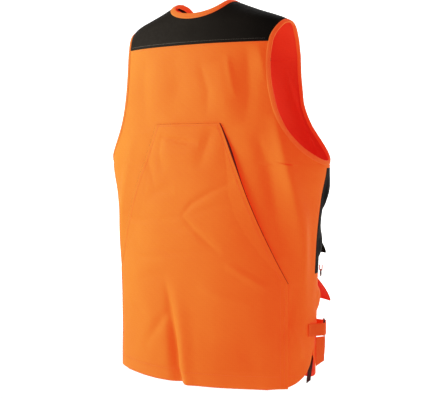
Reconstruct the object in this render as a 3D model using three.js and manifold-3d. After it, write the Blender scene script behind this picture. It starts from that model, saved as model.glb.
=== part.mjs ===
// A sleeveless field vest with a zipped front, a dark yoke, chest and cargo pockets, side straps and a
// game pouch across the lower back. Millimetres, +Z up. The wearer faces -Y, so +X is the wearer's left.
// The origin is the middle of the shoulder line, where a hanger's neck or a wearer's neck comes through.
import * as THREE from "three";
import { mergeVertices } from "three/addons/utils/BufferGeometryUtils.js";
import Module from "manifold-3d";

const wasm = await Module();
wasm.setup();

// ---- overall sizes
const vestLength = 758; // shoulder line to hem
const chestHalfWidth = 258; // centre to side seam, at the bottom of the armholes
const backReach = 85; // centre back, behind the shoulder line
const frontReach = 137; // centre front, ahead of the shoulder line
const cloth = 2; // shell, lining and seam allowance together
const seamGap = 0.8; // clear between two panels that are sewn edge to edge
const layerGap = 0.6; // clear between a piece and the panel it is sewn onto

// ---- seams, measured down from the shoulder line
const armholeDepth = 321;
const backYokeDepth = 88;
const frontYokeDepth = 112;
const chestSeamDepth = 332;
const waistSeamDepth = 534;
const backCorner = 80; // radius of the back panel's lower corners
const frontCorner = 90;

// ---- neck and armhole bindings
const neckHalfWidth = 60;
const neckBackDrop = 26;
const neckFrontDrop = 106;
const neckBandWidth = 11;
const neckBandThick = 3;
const armBandWidth = 8;
const armBandThick = 4.4;

// ---- game pouch on the back
const pouchTopDepth = 245;
const pouchTopHalf = 78; // half the length of its top seam
const pouchSideHalf = 203; // its vertical side seams
const pouchMouthEnd = 552; // depth at which each slanted mouth ends
const pouchStandOff = 9; // how far the pouch stands off the back panel
const pouchHemGap = 3; // from its bottom edge to the hem

// ---- zip
const zipTop = 120;
const zipBottom = 742;
const tapeWidth = 20;
const tapeThick = 1.2;
const tapeBehind = 1.2; // clear between the tape and the front panels' inner faces
const placketHalf = 9; // centre line to the edge of each front panel
const chainGap = 1.3; // centre line to the inner edge of each row of teeth
const chainWidth = 2.9;
const chainThick = 4;
const sliderHeight = 15;
const sliderHalf = 6.6;
const sliderPlate = 1.3;
const sliderClear = 0.6;
const lugReach = 4.4;
const lugWidth = 3;
const lugHole = 2.8;
const pullThick = 1.6;
const pullLength = 34;
const pullWidth = 9;
const zipBoxHeight = 12;

// ---- pockets: depths are measured from the shoulder line, reaches out from the panel
const pockets = {
  cargo: {
    across: chestHalfWidth - 116, width: 118, depth: 566, height: 154, reach: 11,
    flapDepth: 550, flapDrop: 47, flapReach: 32, flapOver: 5, flap: "blaze",
  },
  chest: {
    across: chestHalfWidth - 108, width: 96, depth: 476, height: 52, reach: 7,
    flapDepth: 464, flapDrop: 37, flapReach: 24, flapOver: 4, flap: "umber",
  },
};
const pocketCloth = 1.6;
const flapThick = 2.2;
const flapStart = 4.2; // the flap's seam stands this far off the panel
const flapFlare = 1.5; // 1 is a straight slope from the seam out to the flap's lower edge
const snapRadius = 6.5;
const snapThick = 1.8;
const snapClear = 1;
const snapUp = 12; // from the flap's lower edge to its snap

// ---- side straps
const strapDepth = 645;
const strapWidth = 25;
const strapThick = 1.6;
const buckleArc = 20; // from the side seam to the buckle's rear bar
const buckleWire = 3.2;
const buckleLong = 33;
const buckleWide = 19;
const buckleStand = 11; // how far the strap leads the buckle away from the body
const strapClear = 0.8;
const tabBack = 16; // how far the tab is sewn onto the back panel
const tabReturn = 12; // the folded end that holds the bar
const webEndArc = 56.8; // from the side seam to where the webbing meets the pocket
const tailWidth = 22;
const tailLength = 56;
const tailSlant = 8;
const tailArc = 17; // from the side seam to the hanging tail's middle
const tailLift = 11;
const tailTurn = 0.75; // radians the tail twists towards the back
const tailGap = 2; // below the buckle

// ---- small ring at each side of the waist
const ringDepth = 530;
const ringArc = 34;
const ringRadius = 8;
const ringWire = 2;
const ringTabWidth = 5;

// ---- dark pull tab inside the hem at each side
const hemTabDepth = 706;
const hemTabLength = 46;
const hemTabWidth = 11;
const hemTabSlant = 7; // how far its lower end lies towards the back
const hemTabArc = 12;
const hemTabInside = 4.6; // clear inside the panels, which bend sharply there
const hemTabTurn = 0.45; // radians it twists towards the back

// ---- hanging loop inside the back of the neck
const loopHalf = 30;
const loopDepth = 44;
const loopDrop = 22;
const loopWidth = 8;
const loopThick = 1.6;

const colours = {
  blaze: [0xf0701e, 0.85, 0],
  umber: [0x2f2a27, 0.8, 0],
  binding: [0xf0803a, 0.8, 0],
  webbing: [0x3a2f2c, 0.75, 0],
  metal: [0x4a4644, 0.4, 0.8],
  plastic: [0x2b2725, 0.5, 0],
};
const materials = Object.fromEntries(
  Object.entries(colours).map(([name, [color, roughness, metalness]]) => [
    name,
    new THREE.MeshStandardMaterial({ color, roughness, metalness }),
  ]),
);

// ================= the garment's skin

// A smooth curve through [where, value] points that never overshoots them.
function curve(points, scale = 1) {
  const x = points.map((p) => p[0]);
  const y = points.map((p) => p[1] * scale);
  const n = x.length;
  const rise = x.slice(1).map((v, i) => (y[i + 1] - y[i]) / (v - x[i]));
  const slope = y.map((_, i) => {
    if (i === 0) return rise[0];
    if (i === n - 1) return rise[n - 2];
    return rise[i - 1] * rise[i] <= 0 ? 0 : (2 * rise[i - 1] * rise[i]) / (rise[i - 1] + rise[i]);
  });
  return (at) => {
    if (at <= x[0]) return y[0] + slope[0] * (at - x[0]);
    if (at >= x[n - 1]) return y[n - 1] + slope[n - 1] * (at - x[n - 1]);
    let i = 0;
    while (at > x[i + 1]) i++;
    const w = x[i + 1] - x[i];
    const t = (at - x[i]) / w;
    const u = 1 - t;
    return (
      y[i] * (1 + 2 * t) * u * u +
      slope[i] * w * t * u * u +
      y[i + 1] * (3 - 2 * t) * t * t -
      slope[i + 1] * w * t * t * u
    );
  };
}

// Shares of the vest's length, from the shoulder line (0) to the hem (1), against shares of each reach.
const halfWidthShare = curve([
  [0, 0.229], [0.026, 0.427], [0.063, 0.71], [0.116, 0.836], [0.211, 0.916], [0.317, 0.947],
  [0.422, 1], [0.515, 0.947], [0.633, 0.905], [0.818, 0.885], [1, 0.878],
]);
const backShare = curve([
  [0, 0.49], [0.026, 0.576], [0.063, 0.694], [0.116, 0.835], [0.211, 0.894], [0.317, 0.87],
  [0.422, 0.86], [0.515, 0.93], [0.633, 0.976], [0.818, 0.988], [1, 1],
]);
// Straight from the top of the zip down to the hem, so that the slider runs on a line.
const frontShare = curve([
  [0, 0.25], [0.026, 0.36], [0.063, 0.57], [0.116, 0.825], [0.145, 0.884], [0.148, 0.885], [1, 1],
]);
// The side seam's own place, ahead of the shoulder line.
const sideShare = curve([
  [0, -0.015], [0.026, 0.022], [0.063, 0.066], [0.116, 0.124], [0.211, 0.182], [0.422, 0.19],
  [0.633, 0.212], [1, 0.197],
]);

const back = 1;
const front = -1;
const halfWidth = (z) => chestHalfWidth * halfWidthShare(-z / vestLength);
const sideY = (z) => -frontReach * sideShare(-z / vestLength);
const centreY = (z, side) =>
  side === back ? backReach * backShare(-z / vestLength) : -frontReach * frontShare(-z / vestLength);

// The point of the skin at x and z, on its back or front, moved outwards by lift. The panels' inner faces
// lie on the skin, and their outer faces one cloth thickness out.
function skin(x, z, side, lift = 0) {
  const a = halfWidth(z);
  const c = sideY(z);
  const b = centreY(z, side) - c;
  const across = THREE.MathUtils.clamp(x / a, -1, 1);
  const out = Math.sqrt(Math.max(0, 1 - across * across));
  const e = 0.5;
  const da = (halfWidth(z + e) - halfWidth(z - e)) / (2 * e);
  const dc = (sideY(z + e) - sideY(z - e)) / (2 * e);
  const db = (centreY(z + e, side) - centreY(z - e, side)) / (2 * e) - dc;
  const normal = new THREE.Vector3(
    across / a,
    out / b,
    -(across * across * da) / a - (out * dc) / b - (out * out * db) / b,
  ).normalize();
  return new THREE.Vector3(a * across, c + b * out, z).addScaledVector(normal, lift);
}

// The angle round the section at which the skin is x from the middle: 0 at the wearer's left side seam.
const angleAt = (x, z) => Math.acos(THREE.MathUtils.clamp(x / halfWidth(z), -1, 1));

// The shoulder ridge's height at x, where the back and the front meet.
function ridgeZ(x) {
  let low = -vestLength * 0.2;
  let high = 0;
  for (let i = 0; i < 40; i++) {
    const middle = (low + high) / 2;
    if (halfWidth(middle) > Math.abs(x)) low = middle;
    else high = middle;
  }
  return (low + high) / 2;
}

// ---- armhole: half the distance between the two armholes at each height, on the back and on the front
const shoulderHalf = chestHalfWidth * 0.71;
const shoulderZ = ridgeZ(shoulderHalf);
const armBottomZ = -armholeDepth;
const armBottomHalf = halfWidth(armBottomZ);
function armCurve(shares) {
  const share = curve(shares);
  const span = armBottomHalf - shoulderHalf;
  return (z) => shoulderHalf + span * share((shoulderZ - z) / (shoulderZ - armBottomZ));
}
const armX = {
  [back]: armCurve([
    [0, 0], [0.147, -0.158], [0.282, -0.184], [0.42, -0.145], [0.597, -0.026], [0.755, 0.197],
    [0.883, 0.54], [1, 1],
  ]),
  [front]: armCurve([
    [0, 0], [0.09, -0.19], [0.19, -0.3], [0.36, -0.345], [0.54, -0.24], [0.74, 0.12], [0.89, 0.6], [1, 1],
  ]),
};
// The heights at which the bindings turn. The panels turn at the same heights, so their edges keep apart.
const armLevels = Array.from({ length: 21 }, (_, i) =>
  THREE.MathUtils.lerp(armBottomZ, shoulderZ, (1 - Math.cos((Math.PI * i) / 20)) / 2),
);
// Where a panel stops short of the armhole binding, or at its own side seam.
function panelHalf(z, side) {
  const slope = (armX[side](z + 1) - armX[side](z - 1)) / 2;
  const clear = (armBandWidth / 2 + seamGap) * Math.hypot(1, slope);
  const seam = halfWidth(z) * Math.cos(seamGap / 2 / Math.abs(centreY(z, side) - sideY(z)));
  return Math.min(seam, armX[side](z) - clear);
}

// ---- neck: an oval seen from above, cut lower at the front. extra widens it by part of the binding.
function neckPoint(angle, side, extra) {
  const half = neckHalfWidth + extra;
  const top = ridgeZ(half);
  const drop = (side === back ? neckBackDrop : neckFrontDrop) + extra;
  return [half * Math.cos(angle), top - (drop + top) * Math.sin(angle)];
}
const bandEdge = neckBandWidth + seamGap;
// The neck's outer edge: half its width at a given height on the front.
function neckHalfAt(z) {
  const half = neckHalfWidth + bandEdge;
  const top = ridgeZ(half);
  const share = (top - z) / (neckFrontDrop + bandEdge + top);
  return half * Math.sqrt(Math.max(0, 1 - share * share));
}
// ================= solids

function geometryOf(positions, triangles) {
  const geometry = new THREE.BufferGeometry();
  geometry.setAttribute("position", new THREE.Float32BufferAttribute(positions, 3));
  geometry.setIndex(triangles);
  return geometry;
}

// Turns a closed mesh's faces outwards if they face inwards.
function outward(positions, triangles) {
  let volume = 0;
  const [a, b, c] = [0, 1, 2].map(() => new THREE.Vector3());
  for (let i = 0; i < triangles.length; i += 3) {
    a.fromArray(positions, triangles[i] * 3);
    b.fromArray(positions, triangles[i + 1] * 3);
    c.fromArray(positions, triangles[i + 2] * 3);
    volume += a.dot(b.cross(c));
  }
  if (volume < 0) triangles.reverse();
  return geometryOf(positions, triangles);
}

// A closed sheet between two grids of points, rows of equal length: its outer and its inner face.
function sheet(outer, inner) {
  const rows = outer.length;
  const columns = outer[0].length;
  const positions = [...outer, ...inner].flat().flatMap((p) => p.toArray());
  const triangles = [];
  const quad = (a, b, c, d) => triangles.push(a, b, c, a, c, d);
  const at = (face, r, c) => (face * rows + r) * columns + c;
  for (let r = 0; r < rows - 1; r++) {
    for (let c = 0; c < columns - 1; c++) {
      quad(at(0, r, c), at(0, r, c + 1), at(0, r + 1, c + 1), at(0, r + 1, c));
      quad(at(1, r, c), at(1, r + 1, c), at(1, r + 1, c + 1), at(1, r, c + 1));
    }
    quad(at(0, r, 0), at(0, r + 1, 0), at(1, r + 1, 0), at(1, r, 0));
    quad(at(0, r + 1, columns - 1), at(0, r, columns - 1), at(1, r, columns - 1), at(1, r + 1, columns - 1));
  }
  for (let c = 0; c < columns - 1; c++) {
    quad(at(0, 0, c + 1), at(0, 0, c), at(1, 0, c), at(1, 0, c + 1));
    quad(at(0, rows - 1, c), at(0, rows - 1, c + 1), at(1, rows - 1, c + 1), at(1, rows - 1, c));
  }
  return outward(positions, triangles);
}

// A sheet of cloth on the skin. place(s, t) gives [x, z, extra lift], with s and t from 0 to 1.
function panel(side, columns, heights, place, lift = 0, thick = cloth) {
  const grid = (out) =>
    heights.map((t) => columns.map((s) => {
      const [x, z, extra = 0] = place(s, t);
      return skin(x, z, side, lift + extra + out);
    }));
  return sheet(grid(thick), grid(0));
}

// A closed loop or an open run of flat band: at each point, its place, its outward normal and its width axis.
function band(stops, width, thick, closed) {
  const corners = [
    [-0.5, -0.25], [-0.5, 0.25], [-0.3, 0.5], [0.3, 0.5],
    [0.5, 0.25], [0.5, -0.25], [0.3, -0.5], [-0.3, -0.5],
  ];
  const n = corners.length;
  const positions = [];
  for (const { point, normal, across } of stops)
    for (const [w, h] of corners)
      positions.push(...point.clone().addScaledVector(across, w * width).addScaledVector(normal, h * thick).toArray());
  const triangles = [];
  const turns = closed ? stops.length : stops.length - 1;
  for (let i = 0; i < turns; i++) {
    const j = (i + 1) % stops.length;
    for (let k = 0; k < n; k++) {
      const l = (k + 1) % n;
      triangles.push(i * n + k, i * n + l, j * n + l, i * n + k, j * n + l, j * n + k);
    }
  }
  if (!closed)
    for (let k = 1; k < n - 1; k++) {
      const last = (stops.length - 1) * n;
      triangles.push(0, k + 1, k, last, last + k, last + k + 1);
    }
  return outward(positions, triangles);
}

// The stops of a band that follows [x, z, side] points on the skin.
function stopsOnSkin(points, lift, closed) {
  const places = points.map(([x, z, side]) => skin(x, z, side, lift));
  return places.map((point, i) => {
    const [x, z, side] = points[i];
    const normal = skin(x, z, side, lift + 1).sub(point).normalize();
    const ahead = places[closed ? (i + 1) % places.length : Math.min(i + 1, places.length - 1)];
    const behind = places[closed ? (i + places.length - 1) % places.length : Math.max(i - 1, 0)];
    const along = ahead.clone().sub(behind).normalize();
    return { point, normal, across: normal.clone().cross(along).normalize() };
  });
}

function solid(geometry) {
  const bare = geometry.clone();
  bare.deleteAttribute("normal");
  bare.deleteAttribute("uv");
  const merged = mergeVertices(bare, 1e-4);
  return new wasm.Manifold(
    new wasm.Mesh({
      numProp: 3,
      vertProperties: merged.getAttribute("position").array,
      triVerts: new Uint32Array(merged.index.array),
    }),
  );
}
function geometryFrom(manifold) {
  const { vertProperties, triVerts, numProp, numVert } = manifold.getMesh();
  const positions = [];
  for (let i = 0; i < numVert; i++) positions.push(...vertProperties.subarray(i * numProp, i * numProp + 3));
  return geometryOf(positions, [...triVerts]);
}

// A solid whose section is an outline of [x, y] points, running up along Z.
function upright(outline, height) {
  const shape = new THREE.Shape(outline.map(([x, y]) => new THREE.Vector2(x, y)));
  return new THREE.ExtrudeGeometry(shape, { depth: height, bevelEnabled: false });
}
// A plate in the plane of X and Z: its outline of [x, z] points, with a thickness along Y.
function plate(outline, thick) {
  const shape = new THREE.Shape(outline.map(([x, z]) => new THREE.Vector2(x, z)));
  const geometry = new THREE.ExtrudeGeometry(shape, { depth: thick, bevelEnabled: false });
  return geometry.rotateX(Math.PI / 2).translate(0, thick / 2, 0);
}
function block(width, depth, height, x = 0, y = 0, z = 0) {
  return new THREE.BoxGeometry(width, depth, height).translate(x, y, z);
}

const vest = new THREE.Group();
function add(name, geometry, material, parent = vest) {
  const mesh = new THREE.Mesh(geometry, materials[material]);
  mesh.name = name;
  parent.add(mesh);
  return mesh;
}
const steps = (count, from = 0, to = 1) =>
  Array.from({ length: count + 1 }, (_, i) => THREE.MathUtils.lerp(from, to, i / count));
// Named from the wearer's own left (+X) and right (-X).
const sides = { left: 1, right: -1 };

// ================= shell panels

const hemZ = -vestLength;
// How far round a rounded lower corner takes the side edge in, at a height above the hem.
function cornerInset(z, radius) {
  const up = z - hemZ;
  return up >= radius ? 0 : radius - Math.sqrt(radius * radius - (radius - up) ** 2);
}
function sideLimit(z, side, radius) {
  const reach = Math.abs(centreY(z, side) - sideY(z));
  const rounded = halfWidth(z) * Math.cos(Math.min(1.2, cornerInset(z, radius) / reach));
  return Math.min(panelHalf(z, side), rounded);
}
// Heights from the hem to top, closer together in the rounded corner and at the armhole's bottom.
function panelLevels(bottom, top, marks, spacing) {
  const stops = [bottom, ...marks.filter((m) => m > bottom + 1 && m < top - 1), top].sort((a, b) => a - b);
  return stops.slice(1).flatMap((z, i) => {
    const count = Math.max(1, Math.round((z - stops[i]) / spacing));
    return steps(count, stops[i], z).slice(i ? 1 : 0);
  });
}
const cornerMarks = (radius) => [0.04, 0.16, 0.36, 0.64, 1].map((share) => hemZ + radius * share);

const backTop = -backYokeDepth - seamGap / 2;
const backPanel = panel(
  back,
  steps(20),
  panelLevels(hemZ, backTop, [...cornerMarks(backCorner), armBottomZ - armBandWidth, ...armLevels], 48),
  (s, z) => {
    const limit = angleAt(sideLimit(z, back, backCorner), z);
    return [halfWidth(z) * Math.cos(THREE.MathUtils.lerp(limit, Math.PI - limit, s)), z];
  },
);
add("back_panel", backPanel, "blaze");

// A column of the back or front yoke starts at the shoulder seam, half a seam gap behind or ahead of it.
function seamTopZ(x, side) {
  const top = ridgeZ(x);
  const reach = Math.abs(centreY(top, side) - sideY(top));
  return ridgeZ(x / Math.sqrt(1 - (seamGap / 2 / reach) ** 2));
}
const yokeReach = shoulderHalf - armBandWidth / 2 - seamGap;
const neckOuter = neckHalfWidth + bandEdge;
const shareOf = (z, from, to) => (z - from) / (to - from);
const inside = (t) => t > 0.01 && t < 0.99;
const backNeckAngles = steps(12, 0, Math.PI);
const yokeColumns = [
  ...steps(4, yokeReach, neckOuter).slice(0, -1).map((x) => [x, seamTopZ(x, back)]),
  ...backNeckAngles.map((angle) => neckPoint(angle, back, bandEdge)),
  ...steps(4, -neckOuter, -yokeReach).slice(1).map((x) => [x, seamTopZ(x, back)]),
];
yokeColumns.forEach((column) => (column[1] = Math.min(column[1], seamTopZ(column[0], back))));
const yokeBottomZ = -backYokeDepth + seamGap / 2;
const yokeEdgeTop = seamTopZ(yokeReach, back);
const yokeMarks = armLevels.map((z) => shareOf(z, yokeBottomZ, yokeEdgeTop)).filter(inside);
const yokeRows = [0, ...yokeMarks, 1].sort((a, b) => a - b);
// The outermost column follows the armhole binding at every row.
const yokeEdge = (t, bottom, top, side) =>
  Math.min(yokeReach, panelHalf(THREE.MathUtils.lerp(bottom, top, t), side));
const yokeLowEdge = yokeEdge(0, yokeBottomZ, yokeEdgeTop, back);
add(
  "back_yoke",
  panel(back, yokeColumns, yokeRows, ([topX, topZ], t) => {
    const z = THREE.MathUtils.lerp(yokeBottomZ, topZ, t);
    const share = topX / yokeReach;
    const straight = THREE.MathUtils.lerp(yokeLowEdge, yokeReach, t);
    const bulge = yokeEdge(t, yokeBottomZ, yokeEdgeTop, back) - straight;
    return [THREE.MathUtils.lerp(share * yokeLowEdge, topX, t) + bulge * share ** 3, z];
  }),
  "umber",
);

const frontNeckAngles = steps(9, Math.acos((placketHalf - 3) / neckHalfWidth), 0);
const frontNeckLevels = frontNeckAngles.map((angle) => neckPoint(angle, front, bandEdge)[1]);
for (const [name, hand] of Object.entries(sides)) {
  const endZ = -frontYokeDepth + seamGap / 2;
  const edgeTop = seamTopZ(yokeReach, front);
  const neckTop = seamTopZ(neckOuter, front);
  const rows = [
    0,
    ...armLevels.map((z) => shareOf(z, edgeTop, endZ)).filter(inside),
    ...frontNeckLevels.map((z) => shareOf(z, neckTop, endZ)).filter(inside),
    1,
  ].sort((a, b) => a - b);
  add(
    `front_yoke_${name}`,
    panel(front, steps(6), rows, (s, t) => {
      const z = THREE.MathUtils.lerp(seamTopZ(THREE.MathUtils.lerp(neckOuter, yokeReach, s), front), endZ, t);
      const inner = t === 0 ? neckOuter : neckHalfAt(THREE.MathUtils.lerp(neckTop, endZ, t));
      const outer = t === 0 ? yokeReach : yokeEdge(t, edgeTop, endZ, front);
      return [hand * THREE.MathUtils.lerp(inner, outer, s), z];
    }),
    "umber",
  );
  // One front panel between two heights, from the zip to the armhole or the side seam.
  const frontPart = (label, top, bottom, material, spacing, marks = []) =>
    add(
      `${label}_${name}`,
      panel(front, steps(9), panelLevels(bottom, top, marks, spacing), (s, z) => {
        const inner = angleAt(Math.max(placketHalf, neckHalfAt(z)), z);
        const outer = angleAt(sideLimit(z, front, frontCorner), z);
        return [hand * halfWidth(z) * Math.cos(THREE.MathUtils.lerp(inner, outer, s)), z];
      }),
      material,
    );
  frontPart("front_upper", -frontYokeDepth - seamGap / 2, -chestSeamDepth + seamGap / 2, "blaze", 36, [
    ...frontNeckLevels, armBottomZ - armBandWidth, ...armLevels,
  ]);
  frontPart("chest_panel", -chestSeamDepth - seamGap / 2, -waistSeamDepth + seamGap / 2, "umber", 50);
  frontPart("front_lower", -waistSeamDepth - seamGap / 2, hemZ, "blaze", 45, cornerMarks(frontCorner));
}

// ================= bindings

for (const [name, hand] of Object.entries(sides)) {
  const points = [
    ...armLevels.map((z) => [hand * Math.min(armX[back](z), halfWidth(z)), z, back]),
    ...armLevels.slice(1, -1).reverse().map((z) => [hand * Math.min(armX[front](z), halfWidth(z)), z, front]),
  ];
  const stops = stopsOnSkin(points, cloth / 2, true);
  add(`armhole_binding_${name}`, band(stops, armBandWidth, armBandThick, true), "binding");
}

// The neck band runs from the left end of the zip, over the shoulders and round the back.
const neckStops = [
  ...frontNeckAngles.map((angle) => [angle, front]),
  ...backNeckAngles.slice(1, -1).map((angle) => [angle, back]),
  ...frontNeckAngles.toReversed().map((angle) => [Math.PI - angle, front]),
];
const neckGrid = (lift) =>
  [0, 0.5, 1].map((t) =>
    neckStops.map(([angle, side]) => {
      const [x, z] = neckPoint(angle, side, neckBandWidth * t);
      return skin(x, z, side, lift);
    }),
  );
const neckOutside = neckGrid(cloth / 2 + neckBandThick / 2);
const neckInside = neckGrid(cloth / 2 - neckBandThick / 2);
add("neck_binding", sheet(neckOutside, neckInside), "binding");

// ================= game pouch: a patch whose slanted upper sides are its mouths

const pouchTopZ = -pouchTopDepth;
const pouchEndZ = -pouchMouthEnd;
function pouchHalf(z) {
  const t = THREE.MathUtils.clamp(shareOf(z, pouchTopZ, pouchEndZ), 0, 1);
  return THREE.MathUtils.lerp(pouchTopHalf, pouchSideHalf, t);
}
const pouchLift = cloth + layerGap;
add(
  "game_pouch",
  panel(
    back,
    steps(22),
    panelLevels(hemZ + pouchHemGap, pouchTopZ, [hemZ + pouchHemGap + 12, pouchEndZ, pouchTopZ - 14], 38),
    (s, z) => {
      const limit = angleAt(pouchHalf(z), z);
      const x = halfWidth(z) * Math.cos(THREE.MathUtils.lerp(limit, Math.PI - limit, s));
      const mouth = Math.sin(Math.PI * THREE.MathUtils.clamp(shareOf(z, pouchTopZ, pouchEndZ), 0, 1));
      const middle = 1 - Math.abs(2 * s - 1) ** 4;
      const sewn = Math.min(1, (pouchTopZ - z) / 40, (z - hemZ - pouchHemGap) / 12);
      return [x, z, pouchStandOff * sewn * Math.max(mouth, middle)];
    },
    pouchLift,
  ),
  "blaze",
);

// ================= zip: everything on it stands in a frame that leans with the straight front edge

const zipLean = Math.atan2(centreY(-zipTop, front) - centreY(-zipBottom, front), zipBottom - zipTop);
const zip = new THREE.Group();
zip.position.copy(skin(0, -zipTop, front));
zip.rotation.x = -zipLean;
vest.add(zip);
const zipLength = (zipBottom - zipTop) / Math.cos(zipLean);
const tapeY = tapeBehind + tapeThick / 2;
const rowEnd = chainGap + chainWidth;
for (const [name, hand] of Object.entries(sides)) {
  const [t, c] = [tapeThick / 2, chainThick / 2];
  const outline = [
    [chainGap, -c], [rowEnd, -c], [rowEnd, -t], [rowEnd + tapeWidth, -t],
    [rowEnd + tapeWidth, t], [rowEnd, t], [rowEnd, c], [chainGap, c],
  ].map(([x, y]) => [hand * x, y]);
  const ordered = hand > 0 ? outline : outline.reverse();
  add(`zip_tape_${name}`, upright(ordered, zipLength).translate(0, tapeY, -zipLength), "umber", zip);
}

const sliderPlateY = chainThick / 2 + sliderClear + sliderPlate / 2;
const flangeWidth = sliderHalf - rowEnd - sliderClear;
const flangeDepth = sliderPlateY - tapeThick / 2 - sliderClear;
const flange = (x, y) => block(flangeWidth, flangeDepth, sliderHeight, x, y);
const flangeX = sliderHalf - flangeWidth / 2;
const flangeY = sliderPlateY - flangeDepth / 2;
const lugY = -sliderPlateY - sliderPlate / 2 - lugReach / 2;
const slider = [
  block(2 * sliderHalf, sliderPlate, sliderHeight, 0, -sliderPlateY),
  block(2 * sliderHalf, sliderPlate, sliderHeight, 0, sliderPlateY),
  block(2 * (chainGap - 0.35), 2 * sliderPlateY, sliderHeight * 0.6),
  flange(flangeX, flangeY), flange(-flangeX, flangeY), flange(flangeX, -flangeY), flange(-flangeX, -flangeY),
  block(lugWidth, lugReach + 0.4, lugHole + 3, 0, lugY + 0.2),
]
  .map(solid)
  .reduce((whole, piece) => whole.add(piece))
  .subtract(solid(block(lugWidth + 2, lugHole, lugHole, 0, lugY)));
const sliderGroup = new THREE.Group();
sliderGroup.position.set(0, tapeY, -sliderHeight / 2 - 2);
zip.add(sliderGroup);
add("zip_slider", geometryFrom(slider), "metal", sliderGroup);

const armGap = lugWidth / 2 + 0.6;
const pullTop = pullThick / 2;
const pullWindow = lugHole + 3;
const pull = solid(
  plate(
    [
      [-pullWidth / 2, pullTop], [pullWidth / 2, pullTop], [pullWidth / 2, -pullLength + 3],
      [pullWidth / 2 - 3, -pullLength], [-pullWidth / 2 + 3, -pullLength], [-pullWidth / 2, -pullLength + 3],
    ],
    pullThick,
  ),
).subtract(solid(block(2 * armGap, pullThick + 2, pullWindow, 0, 0, -pullTop - pullWindow / 2)));
add("zip_pull", geometryFrom(pull).translate(0, lugY, 0), "metal", sliderGroup);
add(
  "zip_box",
  block(2 * rowEnd + 3, chainThick + 1, zipBoxHeight, 0, tapeY, -zipLength - zipBoxHeight / 2 - 0.5),
  "plastic",
  zip,
);

// ================= pockets, flaps and snaps

// A frame that stands on the front skin: Z along the outward normal and X level.
function standOn(x, z, lift) {
  const group = new THREE.Group();
  const point = skin(x, z, front, lift);
  const normal = skin(x, z, front, lift + 1).sub(point).normalize();
  const level = new THREE.Vector3(0, 0, 1).cross(normal).normalize();
  group.position.copy(point);
  group.setRotationFromMatrix(new THREE.Matrix4().makeBasis(level, normal.clone().cross(level), normal));
  vest.add(group);
  return group;
}
for (const [kind, p] of Object.entries(pockets))
  for (const [name, hand] of Object.entries(sides)) {
    const pocketBase = cloth + layerGap;
    // The panel's own bend squeezes the spacing of x, so columns are spaced by angle.
    const across = (s, z, half) => {
      const from = angleAt(p.across - half, z);
      const to = angleAt(Math.min(p.across + half, 0.97 * halfWidth(z)), z);
      return hand * halfWidth(z) * Math.cos(THREE.MathUtils.lerp(from, to, s));
    };
    const bulge = (s, t) => p.reach * (1 - Math.abs(2 * s - 1) ** 3) * (1 - (1 - t) ** 4);
    add(
      `${kind}_pocket_${name}`,
      panel(
        front,
        steps(9),
        [0, 0.06, 0.16, 0.35, 0.65, 1],
        (s, t) => {
          const z = -p.depth - p.height * (1 - t);
          return [across(s, z, p.width / 2), z, bulge(s, t)];
        },
        pocketBase,
        pocketCloth,
      ),
      kind === "chest" ? "umber" : "blaze",
    );
    // The flap slopes out over the pocket's mouth. t is 1 at its seam.
    const flapLift = (t) => THREE.MathUtils.lerp(p.flapReach, flapStart, t ** flapFlare);
    add(
      `${kind}_flap_${name}`,
      panel(
        front,
        steps(9),
        [0, 0.4, 0.7, 0.86, 1],
        (s, t) => {
          const z = -p.flapDepth - p.flapDrop * (1 - t);
          return [across(s, z, p.width / 2 + p.flapOver), z, flapLift(t)];
        },
        0,
        flapThick,
      ),
      p.flap,
    );
    const snapT = snapUp / p.flapDrop;
    const snapZ = -p.flapDepth - p.flapDrop + snapUp;
    const cap = new THREE.CylinderGeometry(snapRadius - 1, snapRadius, snapThick, 20).rotateX(Math.PI / 2);
    const stud = new THREE.CylinderGeometry(snapRadius - 2, snapRadius, snapThick, 20).rotateX(Math.PI / 2);
    const capAt = standOn(hand * p.across, snapZ, flapLift(snapT) + flapThick);
    const slope = (flapLift(snapT + 0.01) - flapLift(snapT)) / (0.01 * p.flapDrop);
    capAt.rotateX(Math.atan(slope));
    add(`${kind}_snap_cap_${name}`, cap.translate(0, 0, snapClear + snapThick / 2), "metal", capAt);
    const studT = shareOf(snapZ, -p.depth - p.height, -p.depth);
    const studLift = pocketBase + bulge(0.5, studT) + pocketCloth + snapClear + snapThick / 2;
    add(`${kind}_snap_stud_${name}`, stud, "metal", standOn(hand * p.across, snapZ, studLift));
  }

// ================= side straps

// The point an arc's length from the side seam, forwards if positive, at a height and a lift.
function around(hand, arc, z, lift) {
  const side = arc >= 0 ? front : back;
  const a = halfWidth(z);
  const b = Math.abs(centreY(z, side) - sideY(z));
  let angle = 0;
  for (let left = Math.abs(arc); left > 0; left -= 0.5)
    angle += Math.min(0.5, left) / Math.hypot(a * Math.sin(angle), b * Math.cos(angle));
  const outX = Math.cos(angle) / a;
  const outY = (side * Math.sin(angle)) / b;
  const scale = lift / Math.hypot(outX, outY);
  return new THREE.Vector3(
    hand * (a * Math.cos(angle) + outX * scale),
    sideY(z) + side * b * Math.sin(angle) + outY * scale,
    z,
  );
}
// A strap lying flat, whose middle runs through [arc, lift] points at one height.
function strapAlong(hand, z, path, width, thick) {
  const points = path.map(([arc, lift]) => around(hand, arc, z, lift));
  const up = new THREE.Vector3(0, 0, 1);
  const stops = points.map((point, i) => {
    const next = points[Math.min(i + 1, points.length - 1)];
    const along = next.clone().sub(points[Math.max(i - 1, 0)]).normalize();
    return { point, across: up, normal: along.clone().cross(up).normalize() };
  });
  return band(stops, width, thick, false);
}
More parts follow.
